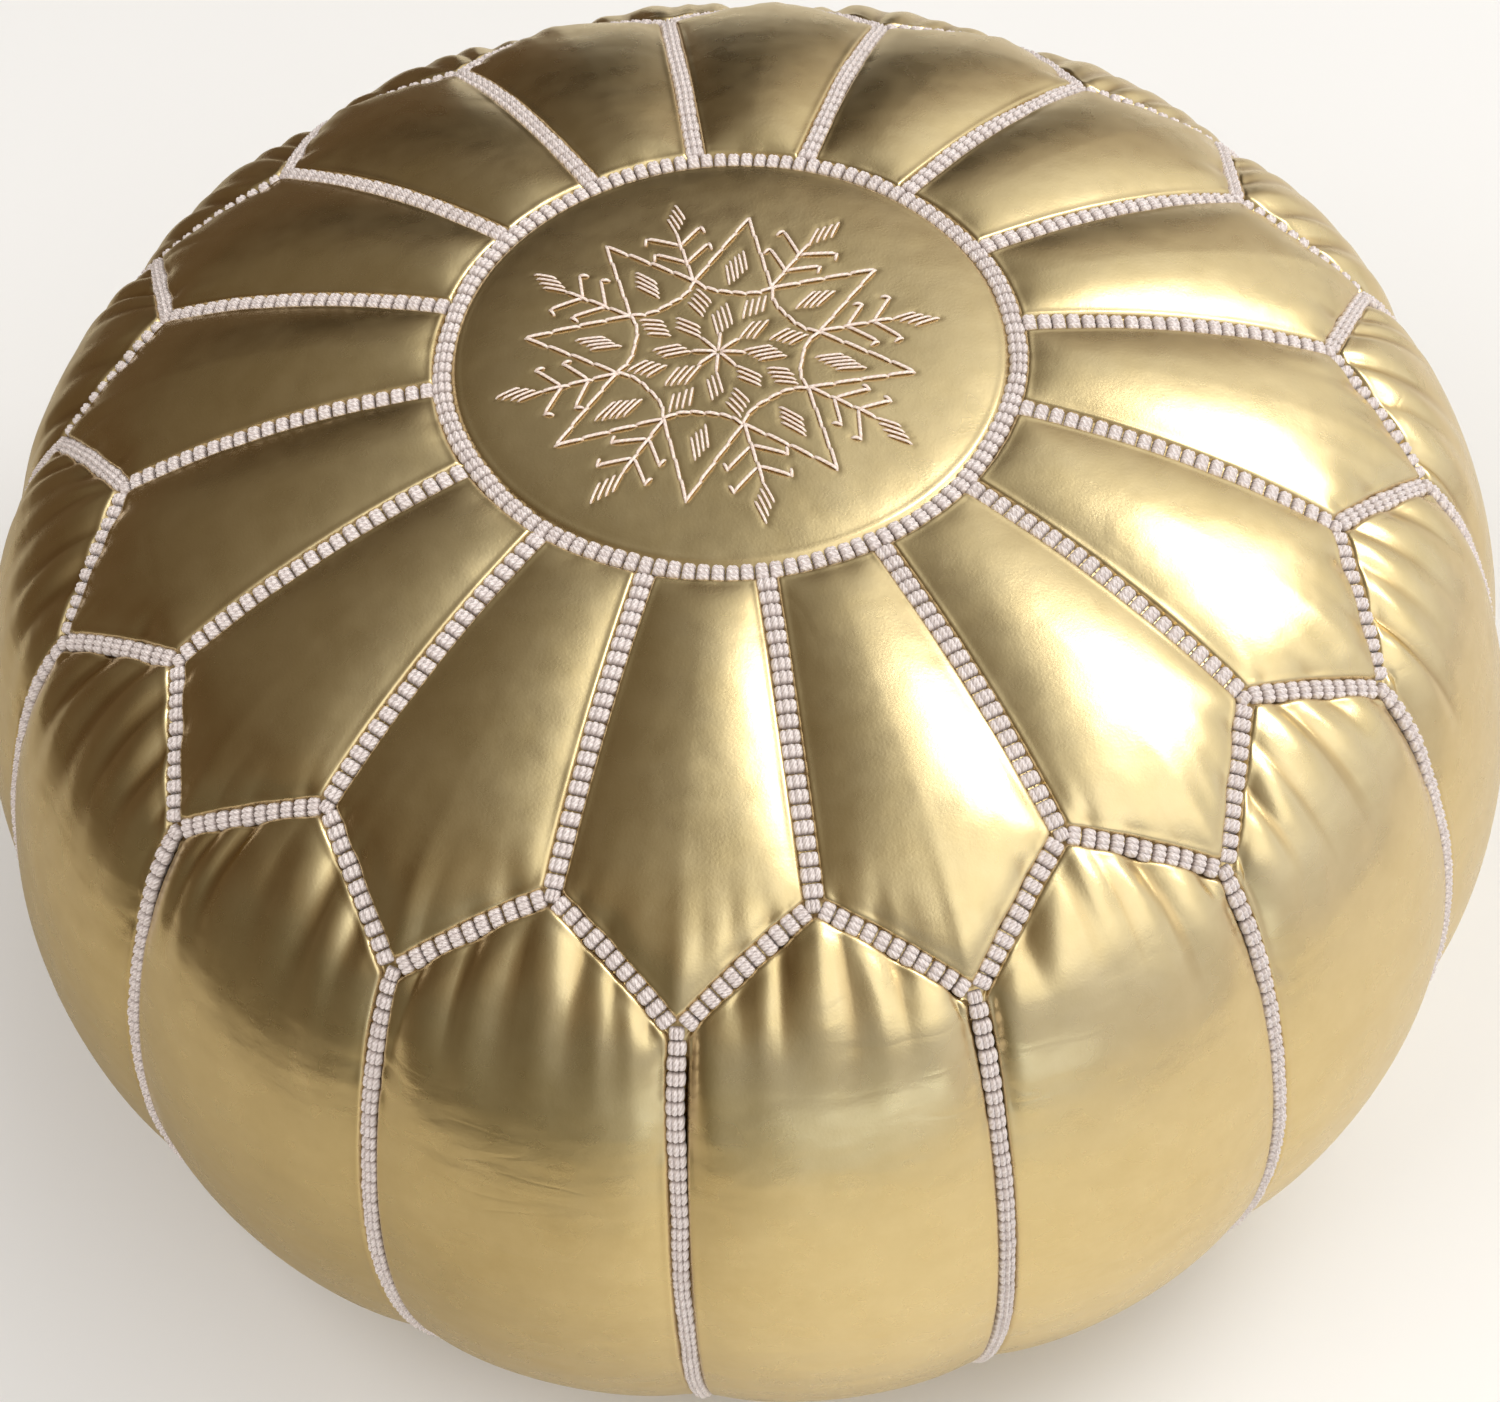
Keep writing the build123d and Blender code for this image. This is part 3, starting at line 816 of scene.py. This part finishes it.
def on_medallion(plan):
    """The height of the medallion's open leather near plan points."""
    flat = medallion_plan.reshape(-1, 2)
    nearest = [int(np.argmin(((flat - p) ** 2).sum(-1))) for p in plan]
    return medallion_level(plan) + medallion_uneven.reshape(-1)[nearest]


def tube(points, radius, normals, sides):
    """A closed tube along points, a little flattened, with its own radius at each of them."""
    run = unit(np.gradient(points, axis=0))
    across = unit(np.cross(normals, run))
    up = np.cross(run, across)
    turn = np.arange(sides) * 2 * pi / sides
    c, s = np.cos(turn)[None, :, None], np.sin(turn)[None, :, None]
    ring = c * across[:, None] + FLATTEN * s * up[:, None]
    skin = points[:, None] + radius[:, None, None] * ring
    faces = ring_faces(len(points), sides)
    faces.append(tuple(range(sides))[::-1])
    faces.append(tuple((len(points) - 1) * sides + j for j in range(sides)))
    return skin.reshape(-1, 3), faces


def make_star():
    """All the stitches as one mesh."""
    points, faces, ply = [], [], []
    t = np.linspace(0, 1, STITCH_RINGS)
    around = np.arange(THREAD_SIDES) * 2 * pi / THREAD_SIDES
    total = 0
    middles = on_medallion((STITCHES[:, 0] + STITCHES[:, 1]) / 2)
    widths = [THREAD] * len(LINE_STITCHES) + [FINE_THREAD] * len(CLUSTER_STITCHES)
    for (a, b), level, width in zip(STITCHES, middles, widths):
        size = norm(b - a)
        plan = a + t[:, None] * (b - a)
        end = np.minimum(t, 1 - t) * size
        rise = width * (0.36 + 0.1 * np.sin(pi * t)) - 0.75 * MM * np.exp(-end / (0.55 * MM))
        tilt = medallion_level(plan) - medallion_level((a + b)[None] / 2)
        line = np.column_stack([plan, level + tilt + rise])
        thick = width / 2 * (0.72 + 0.28 * np.clip(end / (1.2 * MM), 0, 1))
        skin, quads = tube(line, thick, np.array([[0, 0, 1.0]] * STITCH_RINGS), THREAD_SIDES)
        points.append(skin)
        faces += [tuple(i + total for i in f) for f in quads]
        ply.append((t[:, None] * size / (0.34 * MM) + around[None]).ravel())
        total += len(skin)
    piece = mesh_piece("star_threads", np.concatenate(points), [list(f) for f in faces], STAR_THREAD)
    keep_number(piece, "ply", np.concatenate(ply))
    # no painted groove shade on the star's threads
    keep_number(piece, "groove_shade", np.zeros(total))
    put_on_pouf(piece, "star_embroidery")


make_star()

# Seam braids: flat cords of small blocks, each of three short arched strands

BLOCK_ROWS = 9
BLOCK_COLUMNS = 19
BRAID_TOP = 3.3 * MM
BRAID_BOTTOM = -0.9 * MM
WANDER_LENGTH = 11 * MM


def block_shape():
    """One block's heights from 0 to 1 and its painted groove shade, on its grid of points along and across.
    """
    along = np.linspace(-1, 1, BLOCK_ROWS)[:, None]
    across = np.linspace(-1, 1, BLOCK_COLUMNS)[None]
    strand = np.abs(np.cos(1.5 * pi * across)) ** 0.8
    arch = np.sqrt(np.maximum(1 - np.abs(along) ** 2.4, 0))
    nick = 1 - 0.2 * np.exp(-(((along - 0.1 * np.sin(3 * pi * across)) / 0.22) ** 2))
    height = arch * (0.66 + 0.34 * strand) * (1 - 0.45 * np.abs(across) ** 2.4) * nick
    # painted shade: darkest where the block dips at its ends and between its strands
    groove_shade = np.clip(1.1 - 1.7 * arch * (0.5 + 0.5 * strand), 0, 1)
    return along, across, height, groove_shade


def braid(name, lines, half_width, pitch, cad_node):
    """Braids along lines, each a function from a length to points and frames, with its total length."""
    along, across, height, groove_shade = block_shape()
    rng = np.random.default_rng(SEED + 400 + len(name))
    n = BLOCK_ROWS * BLOCK_COLUMNS
    index = np.arange(n).reshape(BLOCK_ROWS, BLOCK_COLUMNS)
    rim = np.concatenate([index[0], index[1:, -1], index[-1, -2::-1], index[-2:0:-1, 0]])
    foot = n + np.arange(len(rim))
    walls = np.stack([rim, foot, np.roll(foot, -1), np.roll(rim, -1)], -1)[:, ::-1]
    block_faces = [*grid_faces(BLOCK_ROWS, BLOCK_COLUMNS).tolist(), *walls.tolist(), foot.tolist()]
    points, faces, grooves, plies = [], [], [], []
    for place, total in lines:
        wander, turns = rng.uniform(0.1, 0.5) * MM, rng.uniform(0, 6)
        count = max(1, round(total / pitch))
        step = total / count
        for i in range(count):
            middle = (i + 0.5 + rng.uniform(-0.03, 0.03)) * step
            half = half_width * rng.uniform(0.94, 1.05)
            spots = middle + 0.495 * step * along[:, 0]
            centre, normal, run = place(spots)
            side = np.cross(normal, run)
            shift = rng.uniform(-0.12, 0.12) * MM + wander * np.sin(middle / WANDER_LENGTH + turns)
            bulge = half * (1.03 - 0.22 * np.abs(along) ** 2.6)
            lift = BRAID_BOTTOM / 2 + (BRAID_TOP * rng.uniform(0.93, 1.05) - BRAID_BOTTOM / 2) * height
            level = centre[:, None] + side[:, None] * (shift + across * bulge)[..., None]
            at = level + normal[:, None] * lift[..., None]
            low = level + normal[:, None] * BRAID_BOTTOM
            start = len(grooves) * (n + len(rim))
            points += [at.reshape(-1, 3), low.reshape(-1, 3)[rim]]
            faces += [[v + start for v in f] for f in block_faces]
            # painted groove shade for each block, full on its walls
            grooves.append(np.concatenate([groove_shade.ravel(), np.ones(len(rim))]))
            twist = (along * step / 2 / (0.3 * MM) + 3 * across * half / (0.55 * MM)).ravel()
            plies.append(np.concatenate([twist, np.zeros(len(rim))]))
    piece = mesh_piece(name, np.concatenate(points), faces, SEAM_THREAD)
    keep_number(piece, "groove_shade", np.concatenate(grooves))
    keep_number(piece, "ply", np.concatenate(plies))
    put_on_pouf(piece, cad_node)


def on_path(angle, length):
    """A line for a braid: along points of the seam level, given by their angles and lengths."""
    path, normals = on_surface(np.asarray(angle, float), np.asarray(length, float))
    along = lengths_along(path)
    run = np.gradient(path, along, axis=0)

    def place(spots):
        centre, normal, ahead = (
            np.stack([np.interp(spots, along, c) for c in source.T], -1) for source in (path, normals, run)
        )
        return centre, unit(normal), unit(ahead)

    return place, along[-1]


def round_seam(radius_length):
    """A line right round the pouf at one length down the section."""
    angle = np.linspace(0, 2 * pi, 721)
    return on_path(angle, radius_length + 0 * angle)


def down_seam(angle, first, last):
    """A line down the section at one angle."""
    length = np.linspace(first, last, 300)
    return on_path(angle + 0 * length, length)


def zigzag_arm(number, side, trim):
    """A line along one arm of the zigzag, from near an inner point to near an outer point."""
    share = np.linspace(trim, 1 - trim, 80)
    angle = number * SECTOR + side * share * SECTOR / 2
    return on_path(angle, length_at(zigzag_radius(angle)))


INNER_POINT = length_at(INNER_POINT_RADIUS)
OUTER_POINT = length_at(OUTER_POINT_RADIUS)
RADIAL_FROM = length_at(RING_RADIUS) + 3.0 * MM
SIDE_TO = LENGTH[-1] - 3.3 * MM

# At each point of the zigzag a short block of its own stands between the ends of three braids
CORNER_HALF = 2.3 * MM
CORNER_ROOM = 2.0 * MM
ARM_TRIM = 0.042

braid("ring_braid", [round_seam(length_at(RING_RADIUS))], 3.2 * MM, 4.6 * MM, "medallion_ring_cord")
radials = [down_seam(k * SECTOR, RADIAL_FROM, INNER_POINT - CORNER_ROOM) for k in range(PANELS)]
braid("petal_seam_braids", radials, 3.3 * MM, 4.9 * MM, "petal_seam_cords")
arms = [zigzag_arm(k, side, ARM_TRIM) for k in range(PANELS) for side in (-1, 1)]
braid("zigzag_braid", arms, 3.15 * MM, 4.85 * MM, "zigzag_cord")
corners = [
    down_seam((k + turn) * SECTOR, point - CORNER_HALF, point + CORNER_HALF)
    for turn, point in ((0, INNER_POINT), (0.5, OUTER_POINT))
    for k in range(PANELS)
]
braid("zigzag_corners", corners, CORNER_HALF, 2 * CORNER_HALF, "zigzag_cord")
for group in range(4):
    lines = [
        down_seam((k + 0.5) * SECTOR, OUTER_POINT + CORNER_ROOM, SIDE_TO)
        for k in range(4 * group, 4 * group + 4)
    ]
    braid(f"side_seam_braids_{group + 1}", lines, 2.8 * MM, 4.95 * MM, "side_seam_cords")
braid("base_seam_braid", [round_seam(LENGTH[-1])], 3.2 * MM, 5.3 * MM, "base_seam_cord")

# Base: two half discs of leather with a lip turned up beside the zip, and a tab beyond each of its ends

SLOT_HALF_LENGTH = 150 * MM
SLOT_HALF_WIDTH = 8 * MM
LIP_TOP = 9.2 * MM
LIP_TURN = 1.6 * MM
FLAT_RADIUS = 138 * MM
BASE_RISE = 3.4 * MM
BASE_EDGE = 158.6 * MM
BASE_COLUMNS = 141
BASE_ROWS = 61


def towards_edge(radius):
    """From 0 where the base lies flat to 1 at its seam."""
    return np.clip((radius - FLAT_RADIUS) / (BASE_RADIUS - FLAT_RADIUS), 0, 1)


def add_base_leather(name, grid, side, cad_node):
    """A leather panel of the base, facing down on either side of the middle."""
    grid = grid[::-1] if side < 0 else grid
    add_leather(name, grid, np.zeros(grid.shape[:2]), cad_node)


def base_height(plan, rng):
    """The base's outer side above the floor: flat in the middle, with slight dents and gathers."""
    radius = norm(plan, axis=-1)
    share = towards_edge(radius)
    dents = lumps(np.dstack([plan, 0 * radius]), rng, 0.7 * MM, 9 * MM, 60)
    angle = np.arctan2(plan[..., 1], plan[..., 0])
    gathers = 0.5 * MM * (1 + np.sin(64 * angle + 2 * np.sin(7 * angle))) * share**2
    return BASE_RISE * share**2 + np.abs(dents) * (1 - share) + gathers


def make_base(name, side, cad_node):
    """One half of the base."""
    rng = np.random.default_rng(SEED + 500 + side)
    x = BASE_EDGE * 0.998 * np.sin(np.linspace(-pi / 2, pi / 2, BASE_COLUMNS))
    far = np.sqrt(BASE_EDGE**2 - x**2)
    near = np.minimum(SLOT_HALF_WIDTH + LIP_TURN, far)
    share = np.linspace(0, 1, BASE_ROWS)[:, None]
    plan = np.dstack([x + 0 * share, near + share * (far - near)])
    flat = np.dstack([plan[..., 0], side * plan[..., 1], base_height(plan, rng) + 0.1 * MM])
    lip = []
    for height in (LIP_TOP, 6.5 * MM, 4 * MM):
        lip.append(np.column_stack([x, side * (near - LIP_TURN), height + 0 * x]))
    for turn in np.linspace(0, pi / 2, 7)[:0:-1]:
        y = near - LIP_TURN * sin(turn)
        z = flat[0, :, 2] + LIP_TURN * (1 - cos(turn))
        lip.append(np.column_stack([x, side * y, z]))
    outside = np.abs(x) >= SLOT_HALF_LENGTH
    lip = np.array([np.where(outside[:, None], flat[0], row) for row in lip])
    lip[:, outside, 1] = side * np.minimum(SLOT_HALF_WIDTH, far[outside])
    add_base_leather(name, np.concatenate([lip, flat]), side, cad_node)


make_base("base_leather_left", 1, "base_left")
make_base("base_leather_right", -1, "base_right")


def make_tab(name, side, cad_node):
    """The small leather tab between the zip's end and the base seam."""
    x = np.linspace(SLOT_HALF_LENGTH + 0.4 * MM, 158.2 * MM, 15)
    y = np.linspace(-1, 1, 21)[:, None] * (SLOT_HALF_WIDTH - 0.2 * MM)
    pillow = 0.5 * MM * (1 - (y / SLOT_HALF_WIDTH) ** 2)
    height = BASE_RISE * towards_edge(np.hypot(x, y)) ** 2 + 0.9 * MM - pillow
    add_base_leather(name, np.dstack([side * (x + 0 * y), y + 0 * x, height]), side, cad_node)


make_tab("zip_end_leather_front", 1, "zip_end_tab_front")
make_tab("zip_end_leather_rear", -1, "zip_end_tab_rear")

# Filling: one soft body inside the leather, clear of the zip


FILLING_GAP = 9 * MM
FILLING_BOTTOM = 13 * MM


def make_filling():
    """A closed body turned round the vertical axis, well inside the leather."""
    keep_rows = np.arange(0, len(LENGTH), 60)
    r = np.maximum(RADIUS[keep_rows] - FILLING_GAP * OUTWARD[keep_rows], 0)
    z = np.maximum(HEIGHT[keep_rows] - FILLING_GAP * UPWARD[keep_rows], FILLING_BOTTOM)
    turn = np.linspace(0, 2 * pi, 97)[:-1]
    rings = np.stack([r[1:, None] * np.cos(turn), r[1:, None] * np.sin(turn), z[1:, None] + 0 * turn], -1)
    rng = np.random.default_rng(SEED + 600)
    rings = rings * (1 + lumps(rings, rng, 0.008, 35 * MM, 90)[..., None] * np.array([1, 1, 0]))
    count = len(turn)
    faces = ring_faces(len(rings), count, flip=True)
    top = len(rings) * count
    for j in range(count):
        k = (j + 1) % count
        faces.append((top, j, k))
        faces.append((top + 1, top - count + k, top - count + j))
    ends = np.array([[0, 0, z[0]], [0, 0, FILLING_BOTTOM]])
    piece = mesh_piece("filling_body", np.concatenate([rings.reshape(-1, 3), ends]), faces, WADDING)
    put_on_pouf(piece, "filling")


make_filling()

# Zip: the CAD pieces, with softened edges

TAPES = ["zip_tape_left", "zip_tape_right"]
METAL = ["zip_teeth_left", "zip_teeth_right", "zip_top_stops", "zip_bottom_stop", "zip_slider", "zip_pull"]
for name in TAPES + METAL:
    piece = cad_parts[name]
    piece.data.materials.clear()
    piece.data.materials.append(TAPE if name in TAPES else BRASS)
    soften = piece.modifiers.new("softened_edges", "BEVEL")
    soften.width = 0.15 * MM
    soften.segments = 2
    soften.limit_method = "ANGLE"

# Floor, light and camera


FLOOR_SIZE = 6.0
FLOOR_COLOUR = (0.92, 0.915, 0.9)


def floor_material():
    """A plain matt finish with a faint unevenness."""
    made, tree, shader = material("floor", Roughness=0.9)
    shade = mixed(tree, noise(tree, 3, 2.0), FLOOR_COLOUR, tuple(c * 0.97 for c in FLOOR_COLOUR))
    link(shader, Base_Color=shade)
    return made


corners = np.array([(-1, -1, 0), (1, -1, 0), (1, 1, 0), (-1, 1, 0)]) * FLOOR_SIZE
mesh_piece("floor", corners, [(0, 1, 2, 3)], floor_material())


def area_light(name, place, aim, size, watts, colour, shows=True):
    """A rectangular soft light at a place, turned to face a point. Only one that shows is seen in gloss."""
    lamp = bpy.data.lights.new(name, "AREA")
    lamp.shape = "RECTANGLE"
    lamp.size, lamp.size_y = size
    lamp.energy = watts
    lamp.color = colour
    holder = bpy.data.objects.new(name, lamp)
    holder.location = place
    holder.rotation_euler = (Vector(aim) - Vector(place)).to_track_quat("-Z", "Y").to_euler()
    holder.visible_camera = False
    holder.visible_glossy = shows
    scene.collection.objects.link(holder)


area_light("window", (1.3, 0.2, 1.85), (0, 0, 0.1), (1.0, 1.0), 17, (1.0, 0.985, 0.96))
area_light("front_strip", (0.3, -2.2, 0.4), (0, 0, 0.2), (2.4, 0.5), 4.5, (1.0, 0.98, 0.95), shows=False)
area_light("fill", (-1.2, -0.5, 1.6), (-0.3, 0, 0), (1.6, 1.6), 19, (1.0, 0.99, 0.98), shows=False)


def stage_hidden(piece, *rays):
    """Hide a studio object from some kinds of ray."""
    for kind in rays:
        setattr(piece, f"visible_{kind}", False)


def glowing(name, **values):
    """A black material that only gives off light."""
    return material(
        name, Base_Color=(0, 0, 0, 1), Specular_IOR_Level=0.0, Emission_Strength=1.0, **values
    )


def ramp(tree, factor, stops):
    """A colour that changes smoothly with factor between stops, each a place and a colour or a grey."""
    made = node(tree, "ValToRGB", {"Fac": factor})
    made.color_ramp.interpolation = "EASE"
    elements = made.color_ramp.elements
    while len(elements) < len(stops):
        elements.new(0.5)
    for element, (place, colour) in zip(elements, stops):
        element.position = place
        element.color = (*colour, 1) if isinstance(colour, tuple) else (colour, colour, colour, 1)
    return made.outputs["Color"]


def round_sheet(radii, heights):
    """A grid right round the vertical axis, from one circle to another."""
    turn = np.linspace(0, 2 * pi, 97)
    radius, height = np.array(radii)[:, None], np.array(heights)[:, None]
    return np.dstack([radius * np.cos(turn), radius * np.sin(turn), height + 0 * turn])


# A glowing screen, no lamp, that only the leather's gloss shows: it paints reflections into the leather.
# Each place round it, in degrees from the front towards the right, has the colours of its foot and of its
# top, and the height where it starts to fade out
SCREEN_RADIUS = 0.82
SCREEN = [
    (-175, (0.12, 0.08, 0.05), (0.12, 0.08, 0.05), 0.30),
    (-100, (0.14, 0.10, 0.06), (0.12, 0.08, 0.05), 0.40),
    (-49, (0.15, 0.12, 0.08), (0.15, 0.13, 0.10), 0.60),
    (-26, (0.19, 0.17, 0.12), (0.24, 0.22, 0.19), 0.60),
    (0, (0.62, 0.62, 0.60), (0.42, 0.42, 0.46), 0.52),
    (37, (0.62, 0.58, 0.57), (0.7, 0.71, 0.8), 0.45),
    (75, (0.60, 0.55, 0.55), (0.88, 0.90, 1.00), 0.32),
    (105, (0.60, 0.55, 0.55), (0.88, 0.90, 1.00), 0.26),
]
SCREEN_FADE = 0.2
# The bright strip on the screen paints a highlight band in the leather's gloss
STRIP_TURN, STRIP_WIDTH = 12, 16
STRIP_HEIGHT, STRIP_THICKNESS = 0.165, 0.04
STRIP_COLOUR = np.array([0.8, 0.95, 1.15])


def painted_reflection_screen():
    """A low screen round the pouf that paints reflections: a brown painted reflection at the left, pale at
    the right, and one bright strip in front as a painted highlight.
    """
    turns = np.linspace(SCREEN[0][0], SCREEN[-1][0], 141)
    share = np.linspace(0, 1, 41)[:, None]
    places, feet, tops, ends = (np.array(column) for column in zip(*SCREEN))
    foot, top = (np.stack([np.interp(turns, places, c) for c in side.T], -1) for side in (feet, tops))
    ends = np.interp(turns, places, ends)
    height = share * (ends + SCREEN_FADE)
    rising = np.clip(height / ends, 0, 1)
    glow = foot + rising[..., None] * (top - foot)
    strip = np.exp(
        -(((turns - STRIP_TURN) / STRIP_WIDTH) ** 4) - ((height - STRIP_HEIGHT) / STRIP_THICKNESS) ** 4
    )
    glow = glow + strip[..., None] * STRIP_COLOUR
    cover = np.clip((ends + SCREEN_FADE - height) / SCREEN_FADE, 0, 1)
    x = SCREEN_RADIUS * np.sin(np.radians(turns)) + 0 * height
    y = -SCREEN_RADIUS * np.cos(np.radians(turns)) + 0 * height
    # the screen glows though it is no lamp, and only reflections show it
    made, tree, shader = glowing("screen")
    painted = node(tree, "Attribute", attribute_name="glow").outputs["Color"]
    link(shader, Emission_Color=painted, Alpha=attribute(tree, "cover"))
    points = np.dstack([x, y, height]).reshape(-1, 3)
    card = mesh_piece("screen", points, grid_faces(*height.shape), made)
    keep_number(card, "cover", cover)
    colours = np.concatenate([glow.reshape(-1, 3), np.ones((glow.size // 3, 1))], axis=1)
    card.data.attributes.new("glow", "FLOAT_COLOR", "POINT").data.foreach_set("color", colours.ravel())
    stage_hidden(card, "camera", "diffuse", "shadow")


GEL_INSIDE = 168 * MM
GEL_OUTSIDE = 1.6
GEL_HEIGHT = 0.6 * MM
GEL_TINTS = [
    (0.0, (0.5, 0.45, 0.37)),
    (0.35, (0.58, 0.53, 0.43)),
    (0.52, (0.87, 0.83, 0.73)),
    (1.0, (0.84, 0.8, 0.76)),
]


def reflection_shading_gel():
    """A clear sheet just above the floor, seen only in gloss: painted shade that dims and warms the floor's
    reflection in the leather, most at the left.
    """
    made = bpy.data.materials.new("gel")
    made.use_nodes = True
    tree = made.node_tree
    tree.nodes.remove(tree.nodes["Principled BSDF"])
    sideways = node(tree, "SeparateXYZ", {"Vector": own_place(tree)}).outputs["X"]
    # painted shade: the tint darkens the floor's reflection towards the left
    tint = ramp(tree, between(tree, sideways, 0, 1, -0.8, 0.8), GEL_TINTS)
    clear = node(tree, "BsdfTransparent", {"Color": tint})
    tree.links.new(clear.outputs[0], tree.nodes["Material Output"].inputs["Surface"])
    ring = round_sheet((GEL_INSIDE, GEL_OUTSIDE), (GEL_HEIGHT, GEL_HEIGHT))
    stage_hidden(mesh_piece("gel", ring, grid_faces(*ring.shape[:2]), made), "camera", "diffuse", "shadow")


WORLD_STRENGTH = 1.62
WORLD_SIDEWAYS = [
    (0.0, (0.10, 0.065, 0.035)),
    (0.3, (0.19, 0.16, 0.125)),
    (0.5, (0.31, 0.29, 0.27)),
    (0.65, (0.93, 0.94, 0.96)),
    (0.8, 1.0),
    (1.0, 0.85),
]
WORLD_LENGTHWAYS = [
    (0.0, 1.0),
    (0.3, 0.88),
    (0.45, 0.66),
    (0.84, (0.57, 0.56, 0.55)),
    (0.93, (0.29, 0.25, 0.22)),
    (0.98, (0.1, 0.085, 0.07)),
]


def studio_world():
    """Soft surroundings: bright at the right and in front, dim at the left, and dark brown at the back."""
    made = bpy.data.worlds.new("studio")
    made.use_nodes = True
    tree = made.node_tree
    axes = node(tree, "SeparateXYZ", {"Vector": node(tree, "TexCoord").outputs["Generated"]}).outputs
    sideways = ramp(tree, between(tree, axes["X"], 0, 1, -1, 1), WORLD_SIDEWAYS)
    lengthways = ramp(tree, between(tree, axes["Y"], 0, 1, -1, 1), WORLD_LENGTHWAYS)
    seen = mixed(tree, 1.0, sideways, lengthways, "MULTIPLY")
    tree.links.new(seen, tree.nodes["Background"].inputs["Color"])
    tree.nodes["Background"].inputs["Strength"].default_value = WORLD_STRENGTH
    return made


BACKDROP_RADIUS = 5.5
BACKDROP_HEIGHT = 4.0


def pale_backdrop():
    """A pale wall far behind, for low views. Neither the gloss nor the light depends on it."""
    ring = round_sheet((BACKDROP_RADIUS, BACKDROP_RADIUS), (0, BACKDROP_HEIGHT))
    made = glowing("backdrop", Emission_Color=(0.78, 0.77, 0.74, 1))[0]
    wall = mesh_piece("backdrop", ring, grid_faces(*ring.shape[:2]), made)
    stage_hidden(wall, "glossy", "diffuse", "shadow")


painted_reflection_screen()
reflection_shading_gel()
pale_backdrop()
scene.world = studio_world()
scene.view_settings.view_transform = "Standard"

CAMERA_TARGET = (0.00067, 0, 0.1373)
CAMERA_DISTANCE = 1.3454
CAMERA_AZIMUTH = radians(-4.67)
CAMERA_ELEVATION = radians(50.80)
CAMERA_ROLL = radians(-3.07)
CAMERA_LENS = 88.0
CAMERA_SENSOR = 36.0

camera = bpy.data.objects.new("camera", bpy.data.cameras.new("camera"))
camera.data.lens = CAMERA_LENS
camera.data.sensor_width = CAMERA_SENSOR
camera.matrix_world = (
    Matrix.Rotation(CAMERA_AZIMUTH, 4, "Z")
    @ Matrix.Translation(CAMERA_TARGET)
    @ Matrix.Rotation(pi / 2 - CAMERA_ELEVATION, 4, "X")
    @ Matrix.Rotation(CAMERA_ROLL, 4, "Z")
    @ Matrix.Translation((0, 0, CAMERA_DISTANCE))
)
scene.collection.objects.link(camera)
scene.camera = camera
